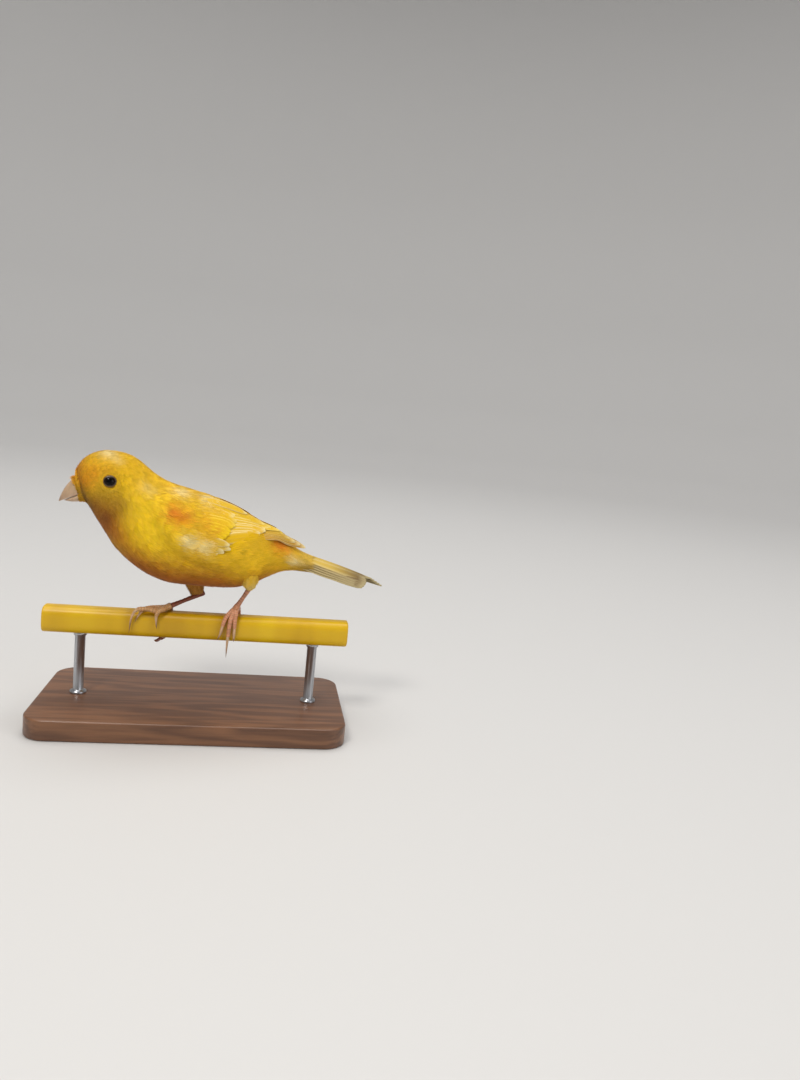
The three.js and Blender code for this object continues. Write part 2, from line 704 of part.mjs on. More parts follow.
// Tips of the tail feathers as x and distance from the middle, from the middle feather outwards
const TAIL_TIPS = {
  left: [[67.4, 1.0], [67.3, 3.3], [66.8, 4.6], [66.0, 5.8], [64.8, 7.0]],
  right: [[69.5, 0.7], [71.6, 3.2], [73.4, 4.1], [75.2, 5.0], [76.9, 5.9]],
};
const TAIL_COVERTS = [
  { count: 4, x: [37.9, 48.0], z: [26.6, 25.0], spread: [3.2, 3.9], width: 3.4, arch: 0.07 },
  { count: 3, x: [38.4, 52.0], z: [20.3, 17.2], spread: [2.4, 2.6], width: 4.0, arch: -0.05 },
];

function straightVane(root, tip, normal, outline, width) {
  const route = outline.map(([f]) => ({ middle: root.clone().lerp(tip, f), normal }));
  return vane(route, outline, width, 0, TAIL_VANE_THICKNESS);
}

function tailFeather(side, index, [tipX, tipSide]) {
  const first = index === 0;
  const level = first ? (1 - side) / 2 : index + 1;
  const rootSide = first ? 0.3 : 1.8 + 0.2 * index;
  const rise = (y) => y * Math.tan(TAIL_ROLL);
  const root = new THREE.Vector3(TAIL_ROOT_X, side * rootSide, TAIL_ROOT_Z - TAIL_ROOT_PITCH * level);
  root.z += rise(root.y);
  const tipZ = TAIL_TIP_Z + TAIL_SLOPE * (tipX - TAIL_TIP_X) - TAIL_TIP_PITCH * level;
  const tip = new THREE.Vector3(tipX, side * tipSide, tipZ + rise(side * tipSide));
  const tilt = (first ? 0 : side * Math.sin(TAIL_ROOF)) - Math.sin(TAIL_ROLL);
  const normal = new THREE.Vector3(0, tilt, 1).normalize();
  return straightVane(root, tip, normal, LONG_VANE, TAIL_FEATHER_WIDTH);
}

function makeTail() {
  const rings = [];
  const steps = 4;
  for (let i = 0; i <= steps; i += 1) {
    rings.push(bodyRing(((TAIL_STUB.length - 1) * i) / steps, 20, 0, TAIL_STUB));
  }
  const pieces = [loft(rings)];
  for (const [name, side] of [['left', -1], ['right', 1]]) {
    TAIL_TIPS[name].forEach((tip, index) => pieces.push(tailFeather(side, index, tip)));
  }
  for (const row of TAIL_COVERTS) {
    for (let i = 0; i < row.count; i += 1) {
      const f = (i / (row.count - 1)) * 2 - 1;
      const place = (end) => {
        const y = f * row.spread[end];
        return new THREE.Vector3(row.x[end], y, row.z[end] - row.arch * y * y + y * Math.tan(TAIL_ROLL));
      };
      const tilt = 2 * row.arch * f * row.spread[1] - Math.sin(TAIL_ROLL);
      const normal = new THREE.Vector3(0, tilt, 1).normalize();
      pieces.push(straightVane(place(0), place(1), normal, SHORT_VANE, row.width));
    }
  }
  return toGeometry(fuse(pieces));
}

// Perch and stand
function perchRing(x, scale) {
  const ring = [];
  const sides = 24;
  for (let k = 0; k < sides; k += 1) {
    const point = perchPoint(x, (k / sides) * 360, 0);
    const rise = (point.z - PERCH_AXIS_HEIGHT) * scale;
    ring.push(new THREE.Vector3(x, point.y * scale, PERCH_AXIS_HEIGHT + rise));
  }
  return ring;
}

function makePerch() {
  const half = PERCH_LENGTH / 2;
  const chamfer = 0.5;
  const inset = 0.92;
  return loft([
    perchRing(-half, inset),
    perchRing(-half + chamfer, 1),
    perchRing(half - chamfer, 1),
    perchRing(half, inset),
  ]);
}

function makeBase() {
  const [x, y] = [BASE_LENGTH / 2 - BASE_BEVEL, BASE_WIDTH / 2 - BASE_BEVEL];
  const r = BASE_CORNER;
  const shape = new THREE.Shape();
  shape.absarc(x - r, y - r, r, 0, Math.PI / 2);
  shape.absarc(-x + r, y - r, r, Math.PI / 2, Math.PI);
  shape.absarc(-x + r, -y + r, r, Math.PI, 1.5 * Math.PI);
  shape.absarc(x - r, -y + r, r, 1.5 * Math.PI, 2 * Math.PI);
  const geometry = new THREE.ExtrudeGeometry(shape, {
    depth: BASE_THICKNESS - 2 * BASE_BEVEL,
    bevelThickness: BASE_BEVEL,
    bevelSize: BASE_BEVEL,
    bevelSegments: 1,
    curveSegments: 5,
  });
  return mergedPositions(geometry.translate(0, 0, BASE_BEVEL));
}

function makeRod() {
  const length = PERCH_AXIS_HEIGHT - PERCH_HEIGHT / 2 - BASE_THICKNESS - 2 * GAP;
  const geometry = new THREE.CylinderGeometry(ROD_RADIUS, ROD_RADIUS, length, 20);
  return mergedPositions(geometry.rotateX(Math.PI / 2));
}

const plumage = () => material(COLOURS.plumage, 0.85);

addPiece(bird, 'head', makeHead(), plumage());
addPiece(bird, 'neck', bodyPiece(HEAD_END + CUT, NECK_END - CUT, 5, 24), plumage());
addPiece(bird, 'torso', bodyPiece(NECK_END + CUT, TORSO_END, 19, 28), plumage());
addPiece(bird, 'tail', makeTail(), material(COLOURS.paleFeather, 0.8));
addPiece(bird, 'upper_bill', makeUpperBill(), material(COLOURS.bill, 0.45));
addPiece(bird, 'lower_bill', billPiece(LOWER_BILL, false), material(COLOURS.bill, 0.45));

const torsoClear = toSolid(bodyPiece(NECK_END - 1, TORSO_END, 22, 28, GAP));
for (const [sideName, side] of [['left', -1], ['right', 1]]) {
  const leg = LEGS[sideName];
  const { centre } = eyeCentre(side);
  addPiece(bird, `eye_${sideName}`, ball(centre, EYE_RADIUS), material(COLOURS.eye, 0.08));
  const wing = toGeometry(wingPiece(side).subtract(torsoClear));
  addPiece(bird, `wing_${sideName}`, wing, material(COLOURS.paleFeather, 0.8));
  addPiece(bird, `shank_${sideName}`, makeShank(leg, torsoClear), plumage());
  addPiece(canary, `tarsus_${sideName}`, makeTarsus(leg), material(COLOURS.skin, 0.6));
  addPiece(canary, `foot_${sideName}`, makeFoot(leg), material(COLOURS.skin, 0.6));
  for (const name of Object.keys(leg.toes)) {
    addPiece(canary, `claw_${sideName}_${name}`, makeClaw(leg, name), material(COLOURS.claw, 0.5));
  }
}

addPiece(canary, 'perch', makePerch(), material(COLOURS.perch, 0.35));
addPiece(canary, 'stand_base', makeBase(), material(COLOURS.base, 0.6));
for (const [index, side] of [[1, -1], [2, 1]]) {
  const rod = addPiece(canary, `stand_rod_${index}`, makeRod(), material(COLOURS.rod, 0.3, 1));
  rod.position.set((side * ROD_SPACING) / 2, 0, (PERCH_AXIS_HEIGHT - PERCH_HEIGHT / 2 + BASE_THICKNESS) / 2);
}

export default canary;
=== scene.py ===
"""The looks of a life-size canary on its cut perch and display stand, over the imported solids.

Lengths are in millimetres. The bird's own frame has x from head to tail, y to its right side and z up
from the perch's top. The perch and the stand use the part's frame, in millimetres too, and
mesh_object() turns that into metres. A spot on the body is a place, the section number from 0 at the
bill to 23 over the tail's root, and a turn in radians from the top of the back, negative on the left.
"""
import math

import bpy
import numpy as np
from mathutils import Matrix, Vector


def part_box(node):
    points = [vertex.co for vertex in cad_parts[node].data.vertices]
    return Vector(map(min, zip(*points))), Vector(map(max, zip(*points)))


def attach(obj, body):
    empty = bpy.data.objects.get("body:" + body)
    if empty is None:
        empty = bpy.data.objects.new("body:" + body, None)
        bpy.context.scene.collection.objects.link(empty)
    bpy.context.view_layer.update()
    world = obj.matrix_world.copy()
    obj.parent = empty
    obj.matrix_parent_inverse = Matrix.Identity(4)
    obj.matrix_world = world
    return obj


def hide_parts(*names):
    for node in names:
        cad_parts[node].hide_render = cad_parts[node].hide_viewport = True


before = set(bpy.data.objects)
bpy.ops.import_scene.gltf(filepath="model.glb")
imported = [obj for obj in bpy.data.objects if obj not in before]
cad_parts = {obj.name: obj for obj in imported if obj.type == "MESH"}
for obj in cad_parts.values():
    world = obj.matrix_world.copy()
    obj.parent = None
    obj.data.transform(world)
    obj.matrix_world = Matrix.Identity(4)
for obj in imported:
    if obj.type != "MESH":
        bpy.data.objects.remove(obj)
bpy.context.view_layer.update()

MM = 0.001
SIDES = {"left": -1, "right": 1}

# Perch and stand, in the part's frame
PERCH_LENGTH = 120.0
PERCH_HEIGHT = 10.5
PERCH_DEPTH = 9.6
PERCH_ROUNDNESS = 3.2
PERCH_AXIS_HEIGHT = 38.0
PERCH_TOP = PERCH_AXIS_HEIGHT + PERCH_HEIGHT / 2
BASE_LENGTH = 120.0
BASE_WIDTH = 64.0
BASE_THICKNESS = 8.0
BASE_CORNER = 9.0
BASE_BEVEL = 0.8
ROD_RADIUS = 2.0
ROD_SPACING = 92.0
BODY_YAW = math.radians(8)

# Sections of the body: upper and lower contour point as x and z, half width, and how far the widest
# place sits below the middle. The last four carry the coat over the tail's root.
BODY_SECTIONS = [
    [-49.0, 51.3, -46.6, 42.7, 3.9, 0],
    [-48.6, 55.0, -45.0, 42.1, 6.0, 0],
    [-47.0, 58.6, -43.9, 40.6, 7.4, 0.02],
    [-44.2, 61.0, -42.7, 38.6, 8.3, 0.03],
    [-40.4, 62.5, -41.5, 36.6, 8.8, 0.05],
    [-36.4, 62.8, -40.1, 34.6, 9.1, 0.08],
    [-32.4, 62.3, -38.6, 32.3, 9.4, 0.12],
    [-28.8, 61.1, -36.8, 29.6, 10.0, 0.18],
    [-25.4, 58.9, -34.5, 26.2, 11.2, 0.24],
    [-22.2, 56.3, -31.2, 22.8, 12.8, 0.26],
    [-18.2, 53.7, -26.9, 19.2, 14.4, 0.25],
    [-13.0, 51.6, -21.2, 15.6, 15.6, 0.24],
    [-6.4, 50.0, -14.0, 12.9, 15.9, 0.26],
    [0.6, 48.2, -5.5, 12.0, 15.8, 0.27],
    [8.0, 45.4, 3.5, 11.5, 15.0, 0.25],
    [15.0, 42.0, 12.0, 11.5, 13.3, 0.2],
    [21.5, 38.8, 19.3, 13.3, 11.0, 0.13],
    [27.0, 35.6, 25.6, 16.3, 8.6, 0.06],
    [32.2, 32.2, 31.0, 18.6, 6.8, 0],
    [36.5, 28.8, 35.6, 19.2, 5.8, 0],
    [41.0, 26.6, 40.6, 19.0, 5.2, 0],
    [46.0, 24.9, 45.7, 18.4, 4.7, 0],
    [51.0, 23.2, 50.8, 17.6, 4.4, 0],
    [56.0, 21.6, 55.8, 16.8, 4.2, 0],
]
SKIN_DEPTH = 0.5
FACE_MIDDLE = np.array([-47.8, 0.0, 47.0])

# The folded wings' outer surface follows the body and leaves it over the rump
WING_RISE_TOP = 0.9
WING_RISE_SIDE = 2.8
FLANK_RISE = 2.0
WING_BIAS = 0.12
WING_REAR_SECTIONS = [
    [28.2, 37.1, 26.6, 24.0, 9.8, 0],
    [33.4, 34.7, 32.4, 24.0, 7.0, 0],
    [38.2, 32.8, 37.6, 24.5, 4.6, 0],
    [42.5, 30.6, 42.2, 25.0, 3.2, 0],
]
WING_UPPER_EDGE = [[9.95, 56], [10.4, 42], [12, 28], [14, 19], [16, 11], [17.5, 10]]
WING_LOWER_EDGE = [
    [9.95, 58], [10.5, 70], [11.6, 86], [13.5, 100],
    [14.2, 82], [15.2, 60], [16.4, 34], [17.6, 36],
]


def srgb(red, green, blue):
    """Linear colour of an 8-bit sRGB one."""
    values = np.array([red, green, blue]) / 255
    return np.where(values <= 0.04045, values / 12.92, ((values + 0.055) / 1.055) ** 2.4)


GOLD = srgb(228, 180, 8)
BRIGHT = srgb(244, 206, 14)
SUNLIT = srgb(255, 208, 22)
AMBER = srgb(228, 156, 14)
ORANGE = srgb(226, 134, 8)
DEEP_ORANGE = srgb(222, 116, 4)
# Belly and throat tones: partly their own deeper orange, partly painted shade under the body
BELLY_TONE_AND_SHADE = srgb(178, 84, 4)
THROAT_TONE_AND_SHADE = srgb(132, 62, 4)
OLIVE = srgb(170, 128, 20)
TAIL_GOLD = srgb(206, 172, 74)
# The pale tail tone is partly the outer feathers' own paler colour and partly painted shade; the tail end
# tone is painted shade at the tips
TAIL_PALE_AND_SHADE = srgb(150, 122, 72)
TAIL_TIP_SHADE = srgb(120, 96, 58)
CREAM = srgb(240, 226, 172)
BLOOM = srgb(244, 222, 130)
GREY_BASE = srgb(196, 176, 120)


# Surfaces

def table_at(table, place):
    """Smooth values of a table's columns at fractional row numbers."""
    table = np.asarray(table, float)
    last = len(table) - 1
    place = np.clip(np.asarray(place, float), 0, last)
    row = np.clip(np.floor(place).astype(int), 0, last - 1)
    f = (place - row)[..., None]
    a, b, c, d = (table[np.clip(row + k, 0, last)] for k in (-1, 0, 1, 2))
    square = (2 * a - 5 * b + 4 * c - d) * f ** 2
    cube = (3 * b - a - 3 * c + d) * f ** 3
    return 0.5 * (2 * b + (c - a) * f + square + cube)


def linear(pairs, place):
    """Straight-line value between pairs of place and value."""
    pairs = np.asarray(pairs, float)
    return np.interp(place, pairs[:, 0], pairs[:, 1])


def smooth(low, high, value):
    """0 up to low and 1 from high on, with a soft step between."""
    f = np.clip((value - low) / (high - low), 0, 1)
    return f * f * (3 - 2 * f)


def bell(value, middle, width):
    """1 at the middle, falling off softly over the width."""
    return np.exp(-(((value - middle) / width) ** 2))


def blended(first, last, share):
    return np.asarray(first) + (np.asarray(last) - np.asarray(first)) * share


def unit(vectors):
    return vectors / np.maximum(np.linalg.norm(vectors, axis=-1, keepdims=True), 1e-9)


def section_point(sections, place, turn, grow=0.0):
    """Point of a section's outline at a place and a turn, moved out by grow."""
    rows = table_at(sections, place)
    top, low, half_width, bias = rows[..., 0:2], rows[..., 2:4], rows[..., 4], rows[..., 5]
    along = unit(top - low)
    drop = ((1 - np.cos(turn)) / 2)[..., None]
    xz = top + (low - top) * drop + along * (grow * np.cos(turn))[..., None]
    y = np.sin(turn) * (half_width + grow) * (1 - bias * np.cos(turn))
    return np.stack([xz[..., 0], y, xz[..., 1]], -1)


def grown_sections(rows):
    """Body sections grown to the outer surface of the folded wings."""
    grown = []
    for top_x, top_z, low_x, low_z, half_width, _ in rows:
        length = math.hypot(top_x - low_x, top_z - low_z)
        dx = (top_x - low_x) / length * WING_RISE_TOP
        dz = (top_z - low_z) / length * WING_RISE_TOP
        width = half_width + WING_RISE_SIDE
        grown.append([top_x + dx, top_z + dz, low_x - dx, low_z - dz, width, WING_BIAS])
    return grown


WING_SECTIONS = grown_sections(BODY_SECTIONS[:17]) + WING_REAR_SECTIONS


def wing_surface(place, turn):
    """Outer surface of the folded wings."""
    return section_point(WING_SECTIONS, place, turn, np.zeros_like(place))


def wing_cover(place, turn):
    """1 where the front of the folded wing lies over the body, 0 off it, soft at its edges."""
    degrees = np.degrees(np.abs(turn))
    upper = linear(WING_UPPER_EDGE, place)
    lower = linear(WING_LOWER_EDGE, place)
    inside = smooth(upper - 12, upper + 6, degrees) * (1 - smooth(lower + 1, lower + 22, degrees))
    return inside * smooth(8.7, 10.8, place) * (1 - smooth(14.6, 16.2, place))


def flank_share(place, turn):
    """1 where the flank's feathers rise to the wing's lower edge, and how the rise falls off below it."""
    under_edge = np.degrees(np.abs(turn)) - linear(WING_LOWER_EDGE, place)
    along = smooth(13.0, 14.2, place) * (1 - smooth(15.0, 17.0, place))
    return smooth(-14, -3, under_edge) * along, 1 - smooth(8, 50, under_edge)


def wing_rise(place, turn):
    """How far the coat is raised by the folded wing under it."""
    rise = WING_RISE_TOP * np.cos(turn) ** 2 + WING_RISE_SIDE * np.sin(turn) ** 2
    return rise * wing_cover(place, turn) * (1 - flank_share(place, turn)[0])


def coat_grow(place, turn):
    """How far the coat's surface stands off the plain sections."""
    degrees = np.degrees(np.abs(turn))
    brow = 0.35 * bell(place, 4.6, 1.3) * bell(degrees, 60, 14)
    lore = -0.35 * bell(place, 2.9, 1.0) * bell(degrees, 84, 16)
    cheek = 0.35 * bell(place, 6.0, 1.4) * bell(degrees, 112, 20)
    flank, fall = flank_share(place, turn)
    forehead = 1.5 * bell(place, 0.2, 1.2) * bell(degrees, 10, 48)
    tail_root = -np.where(turn < 0, 1.3, 0.9) * smooth(18.2, 20.6, place) * bell(degrees, 58, 34)
    return wing_rise(place, turn) + FLANK_RISE * flank * fall + brow + lore + cheek + forehead + tail_root


def coat_surface(place, turn):
    """Surface of the body's coat, where the small feathers are rooted."""
    return section_point(BODY_SECTIONS, place, turn, coat_grow(place, turn))


def skin_depth(place):
    """How deep the skin lies under the coat, less on the face."""
    return SKIN_DEPTH * (0.55 + 0.45 * smooth(2, 8, place))


def skin_surface(place, turn):
    """Surface of the skin under the coat."""
    bare = coat_grow(place, turn) - 0.5 * wing_rise(place, turn)
    return section_point(BODY_SECTIONS, place, turn, bare - skin_depth(place))


def surface_frame(surface, place, turn):
    """Outward normal, and the millimetres per unit of place and per unit of turn."""
    step = 0.01
    ahead = (surface(place + step, turn) - surface(place - step, turn)) / (2 * step)
    around = (surface(place, turn + step) - surface(place, turn - step)) / (2 * step)
    normal = unit(np.cross(ahead, around))
    return normal, np.linalg.norm(ahead, axis=-1), np.linalg.norm(around, axis=-1)


def nearest_spot(surface, point, places, turns):
    """Place and turn where a surface comes nearest to a point."""
    place, turn = np.meshgrid(places, turns, indexing="ij")
    gap = np.linalg.norm(surface(place, turn) - np.asarray(point), axis=-1)
    row, column = np.unravel_index(gap.argmin(), gap.shape)
    return place[row, column], turn[row, column]


def yawed(points, angle):
    c, s = math.cos(angle), math.sin(angle)
    x, y, z = points[..., 0], points[..., 1], points[..., 2]
    return np.stack([x * c - y * s, x * s + y * c, z], -1)


def bird_to_part(points):
    return yawed(np.asarray(points, float), BODY_YAW) + [0, 0, PERCH_TOP]


def part_to_bird(points):
    return yawed(np.asarray(points, float) - [0, 0, PERCH_TOP], -BODY_YAW)


# Meshes

def full_turn(sides, start=0.0):
    return np.linspace(start, start + 2 * math.pi, sides, endpoint=False)


def grid_faces(rows, columns, closed=False, copies=1):
    """Quads of copies of a grid of rows by columns points."""
    i, j = np.meshgrid(np.arange(rows - 1), np.arange(columns if closed else columns - 1), indexing="ij")
    a = i * columns + j
    b = i * columns + (j + 1) % columns
    quads = np.stack([a, a + columns, b + columns, b], -1).reshape(-1, 4)
    starts = np.arange(copies)[:, None, None] * rows * columns
    return (quads[None] + starts).reshape(-1, 4)


def ring_faces(rows, sides, flip=False):
    """Quads between closed rings, and a flat face over the first and the last ring."""
    first = np.arange(sides)[None]
    last = (np.arange(sides) + sides * (rows - 1))[::-1][None]
    faces = [grid_faces(rows, sides, closed=True), first, last]
    return [block[:, ::-1] for block in faces] if flip else faces


def joined(pieces):
    """Points, faces and colours of several pieces as one."""
    points, faces, colours, start = [], [], [], 0
    for piece_points, piece_faces, piece_colours in pieces:
        points.append(np.reshape(piece_points, (-1, 3)))
        faces.extend(block + start for block in piece_faces)
        colours.append(np.reshape(piece_colours, (-1, 3)))
        start += len(points[-1])
    return np.concatenate(points), faces, np.concatenate(colours)


def new_object(name, data):
    made = bpy.data.objects.new(name, data)
    bpy.context.scene.collection.objects.link(made)
    return made


def add_layer(mesh, name, kind, field, values):
    layer = mesh.attributes.new(name, kind, "POINT")
    layer.data.foreach_set(field, values.astype(np.float32).ravel())


def mesh_object(name, points, faces, material, colours=None, vanes=None, bake=None):
    """Object from points in millimetres of the part's frame and blocks of faces of equal size."""
    points = np.asarray(points, float).reshape(-1, 3) * MM
    mesh = bpy.data.meshes.new(name)
    mesh.vertices.add(len(points))
    mesh.vertices.foreach_set("co", points.astype(np.float32).ravel())
    corners = np.concatenate([block.ravel() for block in faces]).astype(np.int32)
    sizes = np.concatenate([np.full(len(block), block.shape[1]) for block in faces])
    starts = np.concatenate([[0], np.cumsum(sizes)[:-1]])
    mesh.loops.add(len(corners))
    mesh.loops.foreach_set("vertex_index", corners)
    mesh.polygons.add(len(sizes))
    mesh.polygons.foreach_set("loop_start", starts.astype(np.int32))
    mesh.polygons.foreach_set("use_smooth", np.ones(len(sizes), bool))
    mesh.update(calc_edges=True)
    mesh.validate()
    if colours is not None:
        rgba = np.concatenate([colours.reshape(-1, 3), np.ones((len(points), 1))], 1)
        add_layer(mesh, "Colour", "FLOAT_COLOR", "color", rgba)
    if vanes is not None:
        add_layer(mesh, "Vane", "FLOAT_VECTOR", "vector", vanes)
    if bake is not None:
        layer = mesh.uv_layers.new(name="OFBake")
        layer.data.foreach_set("uv", bake.reshape(-1, 2)[corners].astype(np.float32).ravel())
    mesh.materials.append(material)
    piece = new_object(name, mesh)
    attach(piece, "root")
    return piece


# Materials

class Look:
    """A principled material and its nodes. A socket's name is written with underscores for spaces."""

    def __init__(self, name, roughness, **sockets):
        self.material = bpy.data.materials.new(name)
        self.material.use_nodes = True
        self.shader = self.material.node_tree.nodes["Principled BSDF"]
        self.feed(self.shader, Roughness=roughness, **sockets)

    def put(self, socket, value):
        """Links an output to a socket, or sets the socket to a plain value."""
        if isinstance(value, bpy.types.NodeSocket):
            self.material.node_tree.links.new(value, socket)
        else:
            socket.default_value = value

    def feed(self, made, **values):
        for name, value in values.items():
            self.put(made.inputs[name.replace("_", " ")], value)

    def node(self, kind, **values):
        """A new node, its own settings in small letters and its sockets with capitals."""
        made = self.material.node_tree.nodes.new("ShaderNode" + kind)
        for name, value in values.items():
            if name[0].islower():
                setattr(made, name, value)
            else:
                self.feed(made, **{name: value})
        return made

    def math(self, operation, *values):
        made = self.node("Math", operation=operation)
        for socket, value in zip(made.inputs, values):
            self.put(socket, value)
        return made.outputs[0]

    def noise(self, scale, detail=3.0, roughness=0.55, stretch=None):
        """Noise over the object's own coordinates, in metres."""
        source = self.node("TexCoord").outputs["Object"]
        if stretch is not None:
            source = self.node("Mapping", Scale=stretch, Vector=source).outputs[0]
        made = self.node("TexNoise", Scale=scale, Detail=detail, Roughness=roughness, Vector=source)
        return made.outputs["Fac"]

    def ramp(self, factor, *stops):
        """Colour ramp with stops of position and colour."""
        made = self.node("ValToRGB", Fac=factor)
        elements = made.color_ramp.elements
        while len(elements) < len(stops):
            elements.new(0.5)
        for element, (position, colour) in zip(elements, stops):
            element.position = position
            element.color = (*colour, 1)
        return made.outputs["Color"]

    def shaded(self, colour, factor, low, high, amount=1.0):
        """The shader's colour, made darker and lighter by a factor between stops of position and shade."""
        shade = self.ramp(factor, *((position, [grey] * 3) for position, grey in (low, high)))
        mix = self.node("Mix", data_type="RGBA", blend_type="MULTIPLY", Factor=amount, A=colour, B=shade)
        self.feed(self.shader, Base_Color=mix.outputs["Result"])

    def painted(self, factor, low, high):
        """The painted colour, made darker and lighter by a factor."""
        colour = self.node("Attribute", attribute_name="Colour").outputs["Color"]
        self.shaded(colour, factor, (0.3, low), (0.7, high))

    def bump(self, height, strength, distance):
        made = self.node("Bump", Strength=strength, Distance=distance, Height=height)
        self.feed(self.shader, Normal=made.outputs["Normal"])


def plumage_material():
    look = Look("plumage", 0.75, Specular_IOR_Level=0.14, Sheen_Weight=0.1, Sheen_Roughness=0.45)
    look.painted(look.noise(2600, 2), 0.93, 1.03)
    look.bump(look.noise(5200, 2), 0.2, 0.00006)
    return look.material


def vane_material():
    """Flight feathers: barbs slant from the shaft towards the tip."""
    look = Look("flight_feathers", 0.55, Specular_IOR_Level=0.2, Sheen_Weight=0.05)
    vane = look.node("Attribute", attribute_name="Vane").outputs["Vector"]
    split = look.node("SeparateXYZ", Vector=vane).outputs
    slant = look.math("MULTIPLY", look.math("ABSOLUTE", split["Y"]), 1.3)
    wave = look.math("SINE", look.math("MULTIPLY", look.math("SUBTRACT", split["X"], slant), 21.0))
    look.painted(look.math("ADD", look.math("MULTIPLY", wave, 0.14), 0.5), 0.84, 1.05)
    look.bump(wave, 0.2, 0.00005)
    return look.material


def skin_material():
    look = Look("body_skin", 0.7)
    look.painted(look.noise(500), 0.84, 0.98)
    look.bump(look.noise(1500), 0.4, 0.0002)
    return look.material


def soft_look(name, roughness, gloss, depth, radii, **sockets):
    """Material that light enters a little way."""
    return Look(
        name, roughness, Specular_IOR_Level=gloss, Subsurface_Weight=depth,
        Subsurface_Radius=radii, Subsurface_Scale=1.0, **sockets,
    )


def leg_material():
    look = soft_look("leg_skin", 0.36, 0.5, 0.15, (0.0009, 0.0004, 0.0002))
    look.painted(look.noise(1400, 4), 0.8, 1.1)
    look.bump(look.noise(5200, 3), 0.35, 0.00008)
    return look.material


def horn_material(name, roughness):
    look = soft_look(name, roughness, 0.5, 0.2, (0.0012, 0.0007, 0.0004), Coat_Weight=0.15)
    look.painted(look.noise(700, 4, 0.6, (1, 1, 0.3)), 0.8, 1.06)
    look.bump(look.noise(2600, 4, 0.6, (0.4, 1, 1)), 0.4, 0.00008)
    return look.material


def eye_material():
    look = Look("eye", 0.05, Specular_IOR_Level=0.13)
    look.painted(look.noise(2500), 0.8, 1.15)
    return look.material


def perch_material():
    look = soft_look("perch_plastic", 0.36, 0.45, 0.1, (0.003, 0.002, 0.0006))
    bands = look.noise(60, 2, 0.5, (1, 0.12, 0.12))
    tones = ((0.3, srgb(190, 144, 6)), (0.52, srgb(216, 172, 8)), (0.75, srgb(226, 186, 14)))
    wear = look.noise(260, 4, 0.6, (0.15, 1, 1))
    rough = look.node("MapRange", From_Min=0.35, From_Max=0.7, To_Min=0.28, To_Max=0.46, Value=wear)
    look.feed(look.shader, Base_Color=look.ramp(bands, *tones), Roughness=rough.outputs["Result"])
    look.bump(wear, 0.12, 0.0001)
    return look.material


def wood_material():
    look = Look("stand_wood", 0.42, Coat_Weight=0.25, Coat_Roughness=0.25)
    rings = look.noise(28, 4, 0.55, (0.16, 1.6, 1.6))
    waves = look.math("SINE", look.math("MULTIPLY", rings, 62.0))
    grain = look.math("ADD", look.math("MULTIPLY", waves, 0.22), 0.5)
    dark, light = srgb(92, 58, 36), srgb(134, 90, 58)
    colour = look.ramp(grain, (0.2, dark), (0.55, (dark + light) / 2), (0.85, light))
    fibres = look.noise(900, 3, 0.6, (0.05, 1, 1))
    look.shaded(colour, fibres, (0.3, 0.55), (0.6, 1.0), 0.5)
    look.bump(fibres, 0.15, 0.0002)
    return look.material


def steel_material():
    look = Look("stand_steel", 0.3, Metallic=1.0)
    brushed = look.noise(1800, 3, 0.6, (1, 1, 0.03))
    colour = look.ramp(brushed, (0.3, srgb(150, 152, 156)), (0.7, srgb(196, 198, 202)))
    look.feed(look.shader, Base_Color=colour)
    look.bump(brushed, 0.12, 0.00005)
    return look.material


def floor_material():
    return Look("pale_floor", 0.6, Base_Color=(*srgb(206, 204, 201), 1)).material


PLUMAGE = plumage_material()
VANES = vane_material()
BODY_SKIN = skin_material()
LEG = leg_material()
BILL = horn_material("bill", 0.38)
CLAW = horn_material("claw", 0.35)
EYE = eye_material()

# Markings: place, degrees from the back's midline, radius, strength and colour, on both sides. The belly and
# throat tones are partly their own deeper orange and partly painted shade, and the flank's sunlit patch is
# partly painted light
MARKINGS = [
    (8.2, 84, 10.0, 0.75, BRIGHT),
    (10.2, 84, 8.0, 0.75, BRIGHT),
    # Partly painted light: the flank's own bright yellow made brighter still
    (14.8, 104, 8.0, 0.85, SUNLIT),
    (0.6, 15, 5.0, 0.9, AMBER),
    (2.8, 66, 3.6, 0.85, AMBER),
    (4.6, 62, 2.4, 0.4, AMBER),
    (1.6, 84, 2.6, 0.6, ORANGE),
    (0.2, 96, 3.0, 0.75, OLIVE),
    (3.6, 112, 4.4, 0.8, OLIVE),
    (6.2, 98, 5.0, 0.9, OLIVE),
    # Painted shade under the body and the chin, over the belly's and throat's own deeper orange
    (5.0, 152, 8.0, 0.9, BELLY_TONE_AND_SHADE),
    (2.8, 134, 3.4, 0.6, THROAT_TONE_AND_SHADE),
    (5.4, 128, 4.0, 0.95, THROAT_TONE_AND_SHADE),
    (7.2, 132, 4.0, 0.5, BELLY_TONE_AND_SHADE),
    (10.5, 62, 3.0, 0.9, DEEP_ORANGE),
    (11.1, 65, 3.0, 0.8, DEEP_ORANGE),
    (12.6, 64, 4.2, 0.45, ORANGE),
    (16.7, 56, 4.4, 0.95, DEEP_ORANGE),
    (4.2, 20, 2.8, 0.65, CREAM),
    (5.2, 36, 2.0, 0.3, CREAM),
    (8.3, 50, 2.6, 0.25, CREAM),
    (11.4, 85, 1.6, 0.5, CREAM),
    (11.8, 87, 2.2, 0.75, CREAM),
    (12.5, 90, 2.4, 0.75, CREAM),
    (10.6, 28, 2.8, 0.7, CREAM),
    (12.2, 28, 3.4, 0.75, CREAM),
    (17.8, 92, 2.6, 0.8, CREAM),
]


